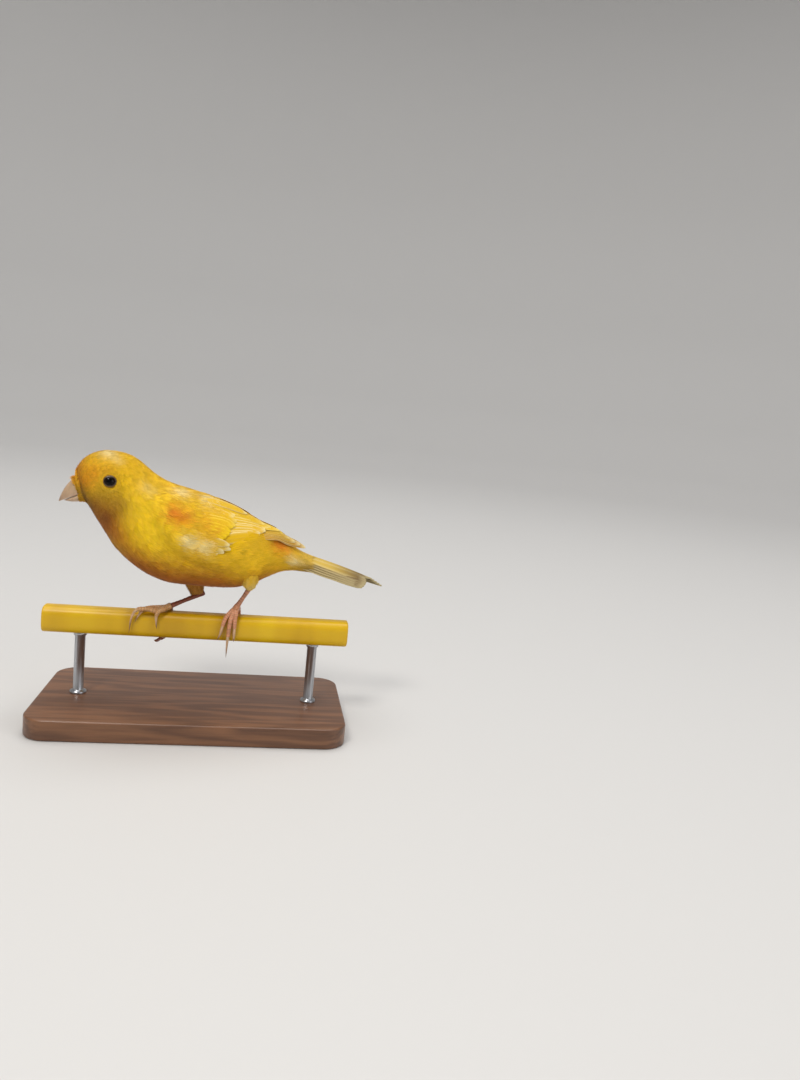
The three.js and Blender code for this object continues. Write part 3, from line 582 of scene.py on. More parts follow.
def plumage(place, turn):
    """Colour of the coat at a spot of the body."""
    degrees = np.degrees(np.abs(turn))
    spot = section_point(BODY_SECTIONS, place, np.abs(turn))
    colour = np.broadcast_to(GOLD, place.shape + (3,))
    # The underside is painted darker towards the belly tone: partly its own colour, partly painted shade
    # from light above
    under = smooth(98, 146, degrees) * smooth(6.5, 9.5, place) * (1 - smooth(15.0, 17.5, place))
    colour = blended(colour, BELLY_TONE_AND_SHADE, (0.92 * under)[..., None])
    for middle, angle, radius, strength, tone in MARKINGS:
        centre = section_point(BODY_SECTIONS, np.array(middle), np.array(math.radians(angle)))
        share = strength * bell(np.linalg.norm(spot - centre, axis=-1), 0, radius)
        colour = blended(colour, tone, share[..., None])
    # Painted shade: the sides and underside of the tail's root are painted darker as well as paler
    pale = blended(TAIL_GOLD, TAIL_PALE_AND_SHADE, smooth(50, 100, degrees)[..., None])
    return blended(colour, pale, 0.7 * smooth(17.6, 18.9, place)[..., None])


# Contour feathers, each a fan of soft barbs

BARB_STEPS = np.array([0.0, 0.4, 0.75, 1.0])
BARB_TAPER = np.array([1.0, 1.1, 0.85, 0.15])
BARB_OVERLAP = 0.6
PATCH = 0.003


def lay_plumes(surface, place, turn, lie, length, width, base, rise, rng, barbs):
    """Points of feathers rooted at spots of a surface, by feather, barb, step along it and edge.

    lie is each feather's angle from straight to the tail, down the side where positive. base is how high
    its root stands over the surface, and rise is how much higher its tip stands.
    """
    count = len(place)
    rows = (place, turn, lie, length, np.broadcast_to(width, count), rise)
    place, turn, lie, length, width, rise = (row.reshape(-1, 1, 1, 1) for row in rows)
    side = np.where(turn < 0, -1.0, 1.0)
    _, scale_ahead, scale_around = surface_frame(surface, place, turn)
    share = np.linspace(-1, 1, barbs)[:, None, None]
    steps = BARB_STEPS[:, None]
    each_barb = (count, barbs, 1, 1)
    along = length * (1 - 0.3 * share ** 2) * (1 + rng.normal(0, 0.07, each_barb)) * steps
    middle = width / 2 * share * (0.2 + 0.8 * steps ** 0.8)
    middle = middle + rng.normal(0, 0.03, each_barb) * width * steps
    half = width / barbs * 0.95 * BARB_TAPER[:, None]
    across = middle + half * np.array([-BARB_OVERLAP, BARB_OVERLAP])
    cos_lie, sin_lie = np.cos(lie), np.sin(lie) * side
    places = place + (along * cos_lie - across * sin_lie) / scale_ahead
    turns = turn + (along * sin_lie + across * cos_lie) / scale_around
    tip = rise * (1 - 0.35 * share ** 2) + rng.normal(0, 0.035, each_barb)
    height = base + tip * steps ** 1.2
    normal = surface_frame(surface, places, turns)[0]
    return surface(places, turns) + normal * height[..., None]


def plume_colours(colour, rng, barbs, bloom=0.14):
    """Colours of the barbs: darker at the root as painted shade where the feathers overlap, a little paler
    at the tip, each feather its own tone.
    """
    count = len(colour)
    tone = 1 + rng.normal(0, 0.07, (count, 1, 1)) + rng.normal(0, 0.025, (count, barbs, 1))
    # Painted shade at each barb's root where the feathers overlap; the tip is a little paler
    root = np.interp(BARB_STEPS, [0, 0.6, 1], [0.84, 0.97, 1.1])
    tip = (bloom * smooth(0.6, 1.0, BARB_STEPS))[:, None]
    mixed = blended(colour[:, None, None], BLOOM, tip) * (tone * root)[..., None]
    return np.repeat(mixed[:, :, :, None], 2, axis=3)


def plume_patches(place, turn, barbs):
    """Bake places: each feather is a small patch at its root's spot on the unrolled skin."""
    u = turn / (2 * math.pi) * 0.96 + 0.5
    v = 0.02 + place / (len(BODY_SECTIONS) - 1) * 0.95
    across = np.linspace(0, PATCH, barbs)[:, None, None] + np.array([0, PATCH / barbs])
    along = (BARB_STEPS * PATCH)[:, None]
    corners = np.broadcast_arrays(u[:, None, None, None] + across, v[:, None, None, None] + along)
    return np.stack(corners, -1)


def plume_object(name, points, colours, patches):
    """Object of the feathers that lay_plumes() made."""
    faces = [grid_faces(len(BARB_STEPS), 2, copies=points.shape[0] * points.shape[1])]
    mesh_object(name, bird_to_part(points), faces, PLUMAGE, colours=colours, bake=patches)


# Feather sizes at places from the bill to the tail: spacing, length and width
COAT_SIZES = np.array([
    [0.0, 0.5, 1.2, 0.9],
    [2.0, 0.62, 1.7, 1.1],
    [4.0, 0.72, 2.2, 1.4],
    [5.5, 0.9, 2.6, 1.6],
    [6.4, 1.1, 3.2, 1.9],
    [8.0, 1.4, 4.6, 2.6],
    [10.0, 1.75, 6.2, 3.4],
    [13.0, 1.95, 7.4, 4.0],
    [17.0, 1.8, 7.0, 3.6],
    [18.4, 1.6, 7.4, 3.2],
    [19.6, 1.3, 6.0, 2.6],
])


RING_SAMPLES = 61


def coat_size(column, place):
    return np.interp(place, COAT_SIZES[:, 0], COAT_SIZES[:, column])


def coat_spots(start, end, rng):
    """Spots spread evenly over the body, in rings from a place to a place nearer the tail."""
    places, turns = [], []
    place, ring = start, 0
    angles = np.linspace(-math.pi, math.pi, RING_SAMPLES)
    while place < end:
        _, scale_ahead, scale_around = surface_frame(coat_surface, np.full(RING_SAMPLES, place), angles)
        spacing = coat_size(1, place)
        ahead, around = spacing / np.mean(scale_ahead), spacing / np.mean(scale_around)
        count = int(2 * math.pi / around)
        even = (np.arange(count) + 0.5 * (ring % 2)) / count
        gone = np.cumsum(scale_around) / np.sum(scale_around)
        turns.append(np.interp(even, gone, angles) + rng.normal(0, 0.2, count) * around)
        places.append(place + rng.normal(0, 0.22, count) * ahead)
        place += 0.9 * ahead
        ring += 1
    turns = (np.concatenate(turns) + math.pi) % (2 * math.pi) - math.pi
    return np.maximum(np.concatenate(places), 0.02), turns


def find_eye(name):
    """An eye's middle, the direction it faces, and its spot on the body with the scales there."""
    low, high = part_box(f"eye_{name}")
    centre = part_to_bird(np.array((low + high) / 2) / MM)
    turns = SIDES[name] * np.radians(np.linspace(55, 100, 91))
    place, turn = nearest_spot(coat_surface, centre, np.linspace(4, 7, 121), turns)
    normal, scale_ahead, scale_around = surface_frame(coat_surface, np.array(place), np.array(turn))
    return centre, normal, (place, turn, scale_ahead, scale_around)


EYES = {name: find_eye(name) for name in SIDES}
EYE_RADIUS = 2.9
EYE_CLEAR = 2.2
EYE_RIM = 0.35


def across_eye(points, centre, normal):
    """Height of points over an eye's middle, and their offset across it with its length."""
    offset = points - centre
    height = (offset * normal).sum(-1)
    flat = offset - height[..., None] * normal
    return height, flat, np.linalg.norm(flat, axis=-1)


def part_round_eyes(points):
    """Moves the points of feathers that would cover an eye out to its rim."""
    reach = EYE_CLEAR + EYE_RIM
    for centre, normal, _ in EYES.values():
        height, flat, radius = across_eye(points, centre, normal)
        pushed = EYE_CLEAR + EYE_RIM * smooth(0, reach, radius)
        near = (radius < reach) & (height > 0)
        factor = np.where(near, pushed / np.maximum(radius, 1e-6), 1.0)
        points = centre + height[..., None] * normal + flat * factor[..., None]
    return points


def under_wing(place, turn):
    """True where the wing's large feathers hide the coat."""
    degrees = np.degrees(np.abs(turn))
    inside = (degrees > linear(WING_UPPER_EDGE, place) + 3) & (degrees < linear(WING_LOWER_EDGE, place) - 2)
    return inside & (place > 13.0) & (place < 16.4)


def lie_of(place, turn, rng):
    """Angle of the coat's lie from straight back, down the side where positive."""
    degrees = np.degrees(np.abs(turn))
    side_of = bell(degrees, 90, 45)
    face = 0.3 * bell(place, 3.0, 2.2) * side_of
    neck = 0.22 * bell(place, 9.0, 2.5) * side_of
    flank = -0.2 * bell(place, 14.5, 2.0) * bell(degrees, 100, 35)
    return face + neck + flank + rng.normal(0, 0.09, place.shape)


def coat_piece(name, start, end, seed, barbs):
    rng = np.random.default_rng(seed)
    place, turn = coat_spots(start, end, rng)
    keep = ~under_wing(place, turn)
    root = coat_surface(place, turn)
    for centre, normal, _ in EYES.values():
        height, _, radius = across_eye(root, centre, normal)
        keep &= ~((radius < EYE_CLEAR + 0.1) & (height > 0))
    place, turn, root = place[keep], turn[keep], root[keep]
    length = coat_size(2, place) * rng.normal(1, 0.1, len(place))
    width = coat_size(3, place) * rng.normal(1, 0.08, len(place))
    for centre, _, _ in EYES.values():
        near = 1 - smooth(3.0, 6.0, np.linalg.norm(root - centre, axis=-1))
        length *= 1 - 0.35 * near
        width *= 1 - 0.15 * near
    rise = skin_depth(place) * 0.95 + 0.05 * rng.random(len(place)) + 0.2 * (1 - smooth(0, 2.5, place))
    base = -0.62 * SKIN_DEPTH
    lie = lie_of(place, turn, rng)
    points = lay_plumes(coat_surface, place, turn, lie, length, width, base, rise, rng, barbs)
    colours = plume_colours(plumage(place, turn), rng, barbs)
    plume_object(name, part_round_eyes(points), colours, plume_patches(place, turn, barbs))


def make_coat():
    coat_piece("coat_face", 0.1, 4.2, 11, 9)
    coat_piece("coat_crown_and_throat", 4.2, 7.0, 12, 11)
    coat_piece("coat_neck", 7.0, 10.0, 13, 13)
    coat_piece("coat_breast", 10.0, 13.2, 14, 15)
    coat_piece("coat_belly", 13.2, 16.6, 15, 15)
    coat_piece("coat_rump", 16.6, 19.6, 16, 13)


TUFT_WIDTH = 0.6
TUFT_BARBS = 5
FACE_TUFTS = 1100
UPPER_BILL_TUFTS = 420
LOWER_BILL_TUFTS = 300
BILL_TUFT_REACH = 1.95
EYE_TUFTS = 420
EYE_TUFT_WIDTH = 0.8


def upper_bill_root(place, turn):
    """The upper bill's surface, its place growing towards the tip."""
    return bill_point(UPPER_BILL, place, -turn, BILL_RIDGE)


def lower_bill_root(place, turn):
    """The lower bill's surface from below, its place growing towards the tip."""
    return bill_point(LOWER_BILL, place, turn, 0.0)


def face_root(place, turn):
    """The front edge of the face and its flat front past place 1, the place growing towards the bill."""
    on_face = coat_surface(np.maximum(1.0 - place, 0), -turn)
    return blended(on_face, FACE_MIDDLE, 0.35 * np.maximum(place - 1.0, 0)[..., None])


def face_tufts(rng):
    """Points, colours and bake places of the tufts on the front of the face."""
    turn = rng.uniform(-math.pi, math.pi, FACE_TUFTS)
    place = rng.uniform(0.05, 1.7, FACE_TUFTS)
    length = rng.uniform(0.7, 1.2, FACE_TUFTS)
    lie = rng.normal(0, 0.3, FACE_TUFTS)
    rise = rng.uniform(0.45, 0.75, FACE_TUFTS)
    points = lay_plumes(face_root, place, turn, lie, length, TUFT_WIDTH, -0.3, rise, rng, TUFT_BARBS)
    spot = np.maximum(1.0 - place, 0), -turn
    return points, plume_colours(plumage(*spot), rng, TUFT_BARBS), plume_patches(*spot, TUFT_BARBS)


def bill_tufts(surface, count, under, rng):
    """Points, colours and bake places of the tufts on one half of the bill, longest on the ridge."""
    turn = rng.uniform(-BILL_TUFT_REACH, BILL_TUFT_REACH, count)
    place = 0.3 + 0.65 * rng.random(count)
    ridge = (0.0 if under else 1.0) * bell(turn, 0, 0.8)
    length = rng.uniform(0.7, 1.2, count) * (1 + 1.1 * ridge)
    lie = rng.normal(0, 0.3, count)
    rise = rng.uniform(0.2, 0.5, count) * (1 + 2.4 * ridge)
    points = lay_plumes(surface, place, turn, lie, length, TUFT_WIDTH, -0.08, rise, rng, TUFT_BARBS)
    face_turn = np.sign(turn) * (math.pi - np.abs(turn)) if under else turn
    colours = plume_colours(plumage(np.full(count, 0.4), face_turn), rng, TUFT_BARBS)
    return points, colours, plume_patches(place * 0.2, face_turn, TUFT_BARBS)


def make_bill_tufts():
    """Short feathers that lie forward from the face over the bill's root and the nostrils."""
    rng = np.random.default_rng(17)
    sets = [
        face_tufts(rng),
        bill_tufts(upper_bill_root, UPPER_BILL_TUFTS, False, rng),
        bill_tufts(lower_bill_root, LOWER_BILL_TUFTS, True, rng),
    ]
    plume_object("coat_bill_tufts", *(np.concatenate(parts) for parts in zip(*sets)))


def make_eye_tufts(side_name):
    """Tiny feathers that lie away from the lid all round the eye."""
    rng = np.random.default_rng(21 + SIDES[side_name])
    eye_place, eye_turn, scale_ahead, scale_around = EYES[side_name][2]

    def spot(away, turn):
        """Place and turn on the body at a distance and direction from the eye's middle."""
        return eye_place + away * np.cos(turn) / scale_ahead, eye_turn + away * np.sin(turn) / scale_around

    def surface(away, turn):
        return coat_surface(*spot(away, turn))

    away = rng.uniform(EYE_CLEAR - 0.1, EYE_CLEAR + 1.2, EYE_TUFTS)
    turn = rng.uniform(-math.pi, math.pi, EYE_TUFTS)
    length = rng.uniform(0.8, 1.3, EYE_TUFTS)
    rise = rng.uniform(0.36, 0.48, EYE_TUFTS)
    lie = rng.normal(0, 0.35, EYE_TUFTS)
    points = lay_plumes(surface, away, turn, lie, length, EYE_TUFT_WIDTH, -0.3, rise, rng, TUFT_BARBS)
    spots = spot(away, turn)
    colours = plume_colours(plumage(*spots), rng, TUFT_BARBS)
    plume_object(f"coat_eye_{side_name}", points, colours, plume_patches(*spots, TUFT_BARBS))


def make_skin():
    """One skin under the coat, from the bill's root over the tail's."""
    rows, sides = 240, 96
    turns = full_turn(sides, -math.pi)
    place, turn = np.meshgrid(np.linspace(0.0, 20.0, rows), turns, indexing="ij")
    points = bird_to_part(skin_surface(place, turn))
    colours = plumage(place, turn) * 0.9
    skin = mesh_object("skin", points, ring_faces(rows, sides), BODY_SKIN, colours=colours)
    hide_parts("head", "neck", "torso")


# Large feathers: closed vanes with a shaft

VANE_COLUMNS = np.array([-1.0, -0.82, -0.5, -0.07, 0.0, 0.07, 0.5, 0.82, 1.0])
LONG_OUTLINE = [
    [0, 0.35], [0.12, 0.62], [0.35, 0.92], [0.62, 1.0], [0.82, 0.9], [0.93, 0.66], [0.98, 0.38], [1, 0.12],
]
ROUND_OUTLINE = [[0, 0.5], [0.2, 0.8], [0.5, 1.0], [0.75, 0.97], [0.9, 0.76], [0.97, 0.46], [1, 0.16]]
SHAFT_RISE = 0.05


def vane_rows(length):
    """Shares of a vane's length, closest together at its tip."""
    steps = np.linspace(0, 1, max(8, int(length / 1.6)))
    return np.append(steps[:-1], [0.985 if length > 12 else 0.97, 1.0])


def both_faces(values):
    """A vane's columns for its upper face, then back again for its lower face."""
    return np.concatenate([values, values[:, ::-1]], 1)


def make_vane(middles, normals, steps, outline, width, roll, split, camber, thickness, rng):
    """Points of one closed vane as rows of upper and lower columns, with its local coordinates."""
    along = unit(np.gradient(middles, axis=0))
    across = unit(np.cross(along, normals))
    up = np.cross(across, along)
    across, up = across * math.cos(roll) + up * math.sin(roll), up * math.cos(roll) - across * math.sin(roll)
    half = (width / 2 * linear(outline, steps))[:, None]
    wobble = 1 + 0.04 * np.interp(steps, np.linspace(0, 1, 9), rng.normal(0, 1, 9))
    columns = VANE_COLUMNS[None] * np.ones((len(steps), 1))
    reach = columns * half + split * half * (1 - columns ** 2)
    reach[:, 0] *= wobble
    reach[:, -1] *= wobble[::-1]
    crown = SHAFT_RISE * np.clip(1 - np.abs(columns) / 0.08, 0, 1) * (1 - 0.7 * steps)[:, None]
    lift = crown - camber * width * columns ** 2
    body = np.clip(1.2 - np.abs(columns), 0.25, 1) * (1 - 0.75 * smooth(0.8, 1.0, steps))[:, None]
    upper = middles[:, None] + across[:, None] * reach[..., None] + up[:, None] * lift[..., None]
    lower = upper - up[:, None] * (thickness * body)[..., None]
    length = np.linalg.norm(np.diff(middles, axis=0), axis=1).sum()
    gone = np.broadcast_to(steps[:, None] * length, reach.shape)
    local = np.stack([gone, reach, np.zeros_like(reach)], -1)
    return np.concatenate([upper, lower[:, ::-1]], 1), both_faces(local), both_faces(columns)


def vane_colours(steps, share, centre, fringe, shaft, fringe_width=0.24):
    """Centre colour, paler fringe at the edges and the tip, and the shaft's colour on its line."""
    edge = smooth(1 - fringe_width, 0.97, np.abs(share))
    amount = np.maximum(edge, smooth(0.88, 0.99, steps)[:, None])
    on_shaft = np.clip(1 - np.abs(share) / 0.05, 0, 1) * (1 - 0.6 * steps)[:, None]
    return blended(blended(centre, fringe, amount[..., None]), shaft, 0.7 * on_shaft[..., None])


class VaneSet:
    """Collects vanes into one object."""

    def __init__(self):
        self.pieces, self.locals, self.shapes = [], [], []

    def add(self, points, local, colours):
        self.pieces.append((points, ring_faces(*points.shape[:2]), colours))
        self.locals.append(local.reshape(-1, 3))
        self.shapes.append(points.shape[:2])

    def bake_places(self):
        """Each vane has a cell of its own on the unrolled wing or tail, in the order they grow."""
        across = math.ceil(math.sqrt(len(self.shapes)))
        cells = []
        for index, (rows, columns) in enumerate(self.shapes):
            row, column = divmod(index, across)
            v, u = np.meshgrid(*(np.linspace(0.04, 0.96, count) for count in (rows, columns)), indexing="ij")
            cells.append(np.stack([(column + u) / across, (row + v) / across], -1).reshape(-1, 2))
        return np.concatenate(cells)

    def build(self, name):
        points, faces, colours = joined(self.pieces)
        return mesh_object(
            name, bird_to_part(points), faces, VANES,
            colours=colours, vanes=np.concatenate(self.locals), bake=self.bake_places(),
        )


FLIGHT = srgb(224, 180, 22)
FLIGHT_GREY = srgb(188, 156, 70)
# Painted shadow for the lowest primaries
FLIGHT_SHADOW = srgb(146, 106, 46)
# The lowest primaries carry a painted shadow, dark brown along the wing's lower edge between the wing tip
# and the rump
PRIMARIES = dict(
    count=8, width=3.3, outline=LONG_OUTLINE, roots=[[14.2, 42], [14.3, 28]], tips=[[19.37, 54], [16.9, 16]],
    depths=[1.6, 1.5], lift=0.145, roll=5, split=-0.3, centres=[FLIGHT_SHADOW, FLIGHT_GREY],
    fringes=[CREAM, BRIGHT],
)
SECONDARIES = dict(
    count=9, width=4.2, outline=LONG_OUTLINE, roots=[[12.6, 92], [13.2, 40]], tips=[[15.7, 52], [16.5, 21]],
    depths=[1.3, 0.8], lift=0.06, roll=6, split=-0.15, centres=[GOLD, FLIGHT], fringes=[CREAM, BLOOM],
)
TERTIALS = dict(
    count=3, width=4.4, outline=LONG_OUTLINE, roots=[[12.4, 44], [12.6, 27]], tips=[[16.9, 20], [15.3, 17]],
    depths=[0.9, 0.35], lift=0.2, roll=4, split=-0.1, centres=[FLIGHT, FLIGHT], fringes=[BLOOM, CREAM],
)
PRIMARY_COVERTS = dict(
    count=7, width=3.2, outline=ROUND_OUTLINE, roots=[[11.3, 92], [12.2, 80]],
    tips=[[13.5, 101], [14.2, 80]], depths=[1.6, 0.4], lift=0.08, roll=-3, split=-0.15,
    centres=[FLIGHT_GREY] * 2, fringes=[CREAM] * 2,
)
GREATER_COVERTS = dict(
    count=11, width=4.6, outline=ROUND_OUTLINE, roots=[[11.8, 82], [12.4, 33]],
    tips=[[14.1, 76], [14.5, 25]], depths=[1.2, 0.45], lift=0, roll=2, split=-0.1,
    centres=[GOLD, FLIGHT], fringes=[BRIGHT, CREAM],
)


def wing_vane(row, index, side, rng):
    """Points, local coordinates and colours of one vane of a row, counted from the lowest."""
    share = index / (row["count"] - 1)
    root = blended(*row["roots"], share)
    tip = blended(*row["tips"], share) + rng.normal(0, 1, 2) * [0.12, 0.8]
    steps = vane_rows(6.0 * (tip[0] - root[0]))
    place, degrees = blended(root[:, None], tip[:, None], steps)
    turn = side * np.radians(degrees)
    normals = surface_frame(wing_surface, place, turn)[0]
    depth = blended(*row["depths"], steps) - row["lift"] * index
    middles = wing_surface(place, turn) - normals * depth[:, None]
    points, local, columns = make_vane(
        middles, normals, steps, row["outline"], row["width"], side * math.radians(row["roll"]),
        side * row["split"], 0.03, 0.12, rng,
    )
    tone = plumage(np.clip(place, 0, 16), turn)
    own = blended(*row["centres"], share)
    centre = blended(own, tone, (0.85 - 0.45 * steps)[:, None])[:, None] * (1 + rng.normal(0, 0.03))
    fringe = blended(centre, blended(*row["fringes"], smooth(0.3, 1.0, share)), 0.75)
    return points, local, vane_colours(steps, columns, centre, fringe, blended(centre, GREY_BASE, 0.5))


def make_wing(side_name):
    side = SIDES[side_name]
    rng = np.random.default_rng(31 + side)
    vanes = VaneSet()
    for row in (PRIMARIES, SECONDARIES, TERTIALS, PRIMARY_COVERTS, GREATER_COVERTS):
        for index in range(row["count"]):
            vanes.add(*wing_vane(row, index, side, rng))
    wing = vanes.build(f"wing_{side_name}_feathers")
    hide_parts(f"wing_{side_name}")


# Tail, 12 feathers like a low roof, the middle pair on top
TAIL_FEATHERS = 6
TAIL_ROOT_X = 38.6
TAIL_ROOT_Z = 26.8
TAIL_TIP_X = 65.0
TAIL_TIP_Z = 18.6
TAIL_SLOPE = -0.31
TAIL_ROOT_STACK = 4.6
TAIL_TIP_STACK = 2.8
TAIL_ROLL = math.radians(9)
TAIL_ROOF = math.radians(14)
TAIL_FEATHER_WIDTH = 5.0
TAIL_TIPS = {
    "left": [[67.4, 1.0], [67.3, 3.3], [66.8, 4.6], [66.0, 5.8], [64.8, 7.0]],
    "right": [[69.5, 0.7], [71.6, 3.2], [73.4, 4.1], [75.2, 5.0], [76.9, 5.9]],
}


def tail_vane(side_name, index, rng):
    """Points, local coordinates and colours of one tail feather, counted from the middle."""
    side = SIDES[side_name]
    tips = np.array(TAIL_TIPS[side_name])
    share = index / (TAIL_FEATHERS - 1)
    tip_x, tip_side = table_at(tips, share * (len(tips) - 1))
    level = share if index else (1 - side) / 16
    root_side = 1.6 + 1.1 * share if index else 0.3
    root = np.array([TAIL_ROOT_X - 2, side * root_side, TAIL_ROOT_Z + 0.6 - TAIL_ROOT_STACK * level])
    tip_z = TAIL_TIP_Z + TAIL_SLOPE * (tip_x - TAIL_TIP_X) - TAIL_TIP_STACK * level
    tip = np.array([tip_x, side * tip_side, tip_z])
    steps = vane_rows(tip_x - TAIL_ROOT_X)
    middles = blended(root, tip, steps[:, None])
    middles[:, 2] += middles[:, 1] * math.tan(TAIL_ROLL) + 0.35 * np.sin(steps * math.pi)
    tilt = (side * math.sin(TAIL_ROOF) if index else 0) - math.sin(TAIL_ROLL)
    normals = np.broadcast_to(unit(np.array([0.0, tilt, 1.0])), middles.shape)
    points, local, columns = make_vane(
        middles, normals, steps, LONG_OUTLINE, TAIL_FEATHER_WIDTH, 0.0, side * 0.1 * index, 0.13, 0.24, rng,
    )
    # Painted shade: the outer feathers are darker, and every feather darkens towards its tip
    tone = blended(TAIL_GOLD if index < 2 else TAIL_PALE_AND_SHADE, TAIL_TIP_SHADE, smooth(0.35, 0.95, steps)[:, None])
    tone = (tone * (1 + rng.normal(0, 0.03)))[:, None]
    fringe, shaft = blended(tone, CREAM, 0.4), blended(tone, GREY_BASE, 0.4)
    return points, local, vane_colours(steps, columns, tone, fringe, shaft, 0.4)


def make_tail():
    rng = np.random.default_rng(41)
    vanes = VaneSet()
    for side_name in SIDES:
        for index in reversed(range(TAIL_FEATHERS)):
            vanes.add(*tail_vane(side_name, index, rng))
    tail = vanes.build("tail_feathers")
    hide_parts("tail")


# Tubes for legs, toes and claws

def between_knots(first, last, start, end, t):
    return first * (end - t) / (end - start) + last * (t - start) / (end - start)


def curve_through(points, count):
    """Even steps along a centripetal Catmull-Rom curve through points, with its end slopes kept."""
    points = np.asarray(points, float)
    padded = np.concatenate([[2 * points[0] - points[1]], points, [2 * points[-1] - points[-2]]])
    knots = np.concatenate([[0], np.cumsum(np.linalg.norm(np.diff(padded, axis=0), axis=1) ** 0.5)])
    made = []
    for place in np.linspace(0, 1, count) * (len(points) - 1):
        row = min(int(place), len(points) - 2)
        level, k = padded[row:row + 4], knots[row:row + 4]
        t = k[1] + (k[2] - k[1]) * (place - row)
        for pairs, skip, span in ((3, 0, 1), (2, 0, 2), (1, 1, 1)):
            level = [
                between_knots(level[i - skip], level[i - skip + 1], k[i], k[i + span], t)
                for i in range(skip, skip + pairs)
            ]
        made.append(level[0])
    return np.array(made)


def tube(path, radii, outward, sides=16):
    """Rings round a path. radii gives each point's size by turn, and turn 0 faces outward."""
    tangent = unit(np.gradient(path, axis=0))
    out = unit(outward - (outward * tangent).sum(-1, keepdims=True) * tangent)
    across = np.cross(tangent, out)
    turns = full_turn(sides)
    size = radii(np.linspace(0, 1, len(path))[:, None], turns[None])
    spoke = out[:, None] * np.cos(turns)[:, None] + across[:, None] * np.sin(turns)[:, None]
    return path[:, None] + spoke * size[..., None], ring_faces(len(path), sides, flip=True)


def perch_outline(turn):
    """Sideways and upward shares of the perch's rounded outline at a turn from its top."""
    side, up = np.sin(turn), np.cos(turn)
    power = 2 / PERCH_ROUNDNESS
    return -np.sign(side) * np.abs(side) ** power, np.sign(up) * np.abs(up) ** power


def perch_point(x, phi, over):
    """Point round the perch: degrees from its top, 90 in front, at a height over its surface."""
    side, up = perch_outline(math.radians(phi))
    return [x, side * (PERCH_DEPTH / 2 + over), PERCH_AXIS_HEIGHT + up * (PERCH_HEIGHT / 2 + over)]


LEGS = {
    "left": {
        "belly": [16.4, -5.0, 21.0], "knee": [17.6, -6.7, 15.6], "ankle": [18.3, -5.6, 12.4],
        "joint": [14.0, -2.5, 8.9],
        "toes": {
            1: [[14.4, -8, 2.6], [14.8, -45, 1.2], [15.0, -80, 1.1], [15.2, -105, 1.2], [15.4, -140, 1.5]],
            2: [[11.8, 30, 2.6], [10.3, 52, 1.8], [9.2, 82, 1.2], [8.4, 96, 1.3], [7.3, 124, 1.0]],
            3: [[12.9, 34, 2.6], [12.2, 60, 2.0], [11.6, 100, 1.3], [11.4, 128, 2.0], [11.3, 158, 6.4]],
            4: [[14.0, 36, 2.5], [13.9, 58, 1.8], [13.9, 86, 1.2], [13.9, 104, 1.2], [13.8, 126, 1.2]],
        },
    },
    "right": {
        "belly": [-3.0, 5.2, 19.0], "knee": [-1.4, 6.0, 12.0], "ankle": [-0.4, 4.9, 6.6],
        "joint": [-13.0, -1.6, 7.2],
        "toes": {
            1: [
                [-12.6, -36, 1.4], [-13.0, -128, 1.3], [-15.4, -170, 1.5], [-16.6, -184, 1.6],
                [-17.4, -196, 1.2],
            ],
            2: [[-14.6, 30, 2.2], [-15.9, 44, 2.4], [-16.6, 60, 1.6], [-16.6, 76, 1.3], [-16.3, 92, 1.2]],
            3: [[-16.6, 36, 1.9], [-20.6, 38, 2.8], [-23.9, 44, 3.0], [-25.7, 64, 1.9], [-26.8, 108, 1.2]],
            4: [[-15.8, 0, 1.3], [-19.4, 2, 1.2], [-21.8, 18, 1.2], [-23.2, 50, 0.95], [-24.7, 84, 1.0]],
        },
    },
}
FORWARD = np.array([-1.0, 0.0, 0.0])
LEG_FRONT = np.array([-0.6, -0.8, 0.3])
REAR_TOE = 1
TOE_SHARE = 0.624
TOE_RADIUS = 0.86
REAR_TOE_RADIUS = 1.02
CLAW_RADIUS = 0.5
TARSUS_RADIUS = 0.85
TARSUS_SCUTES = 9
TOE_SCUTES = 11
KNUCKLE_SCUTES = 2
SHANK_BARBS = 9
GOLDEN_ANGLE = 2.39996
SHANK_RADII = {"left": [4.6, 3.6, 1.5], "right": [4.6, 4.0, 2.1]}
SHANK_TONES = {
    "left": (GOLD, srgb(226, 196, 110)),
    "right": (srgb(196, 128, 20), srgb(172, 108, 34)),
}
SHANK_FORWARD = {"left": [0.0, 0.0, 0.0], "right": [1.4, 1.4, 1.2]}
TOE_TONES = {"left": srgb(218, 154, 116), "right": srgb(204, 156, 104)}
# The far (right) rear toe and tarsus are painted dark red-brown as shade; the near ones keep their own
# colour
REAR_TOE_TONES_FAR_SHADED = {"left": srgb(206, 144, 108), "right": srgb(140, 72, 48)}
TARSUS_TONES_FAR_SHADED = {"left": srgb(196, 136, 104), "right": srgb(132, 68, 44)}
CLAW_ROOT = srgb(206, 170, 132)
CLAW_TIP = srgb(120, 84, 60)


def scuted(radius, scutes, taper, pad=0.0, pads=3):
    """Size of a scaly toe or shank: overlapping plates on the outward side and soft pads under it."""
    def size(f, turn):
        saw = (f * scutes) % 1.0
        plate = 0.2 * (1 - saw) ** 0.6 * smooth(-0.3, 0.6, np.cos(turn))
        crease = -0.12 * bell(saw, 0.0, 0.1)
        soft = pad * np.abs(np.sin(f * math.pi * pads)) * smooth(0.1, 0.9, -np.cos(turn))
        narrow = np.interp(f, [0, 0.5, 0.95, 1], [*taper, taper[-1] * 0.75])
        return radius * (1 + plate + crease + soft) * narrow
    return size


def claw_size(f, turn):
    deep = 1 + 0.25 * np.cos(turn) ** 2
    return CLAW_RADIUS * deep * np.interp(f, [0, 0.25, 0.7, 1], [1.2, 1.15, 0.7, 0.06])


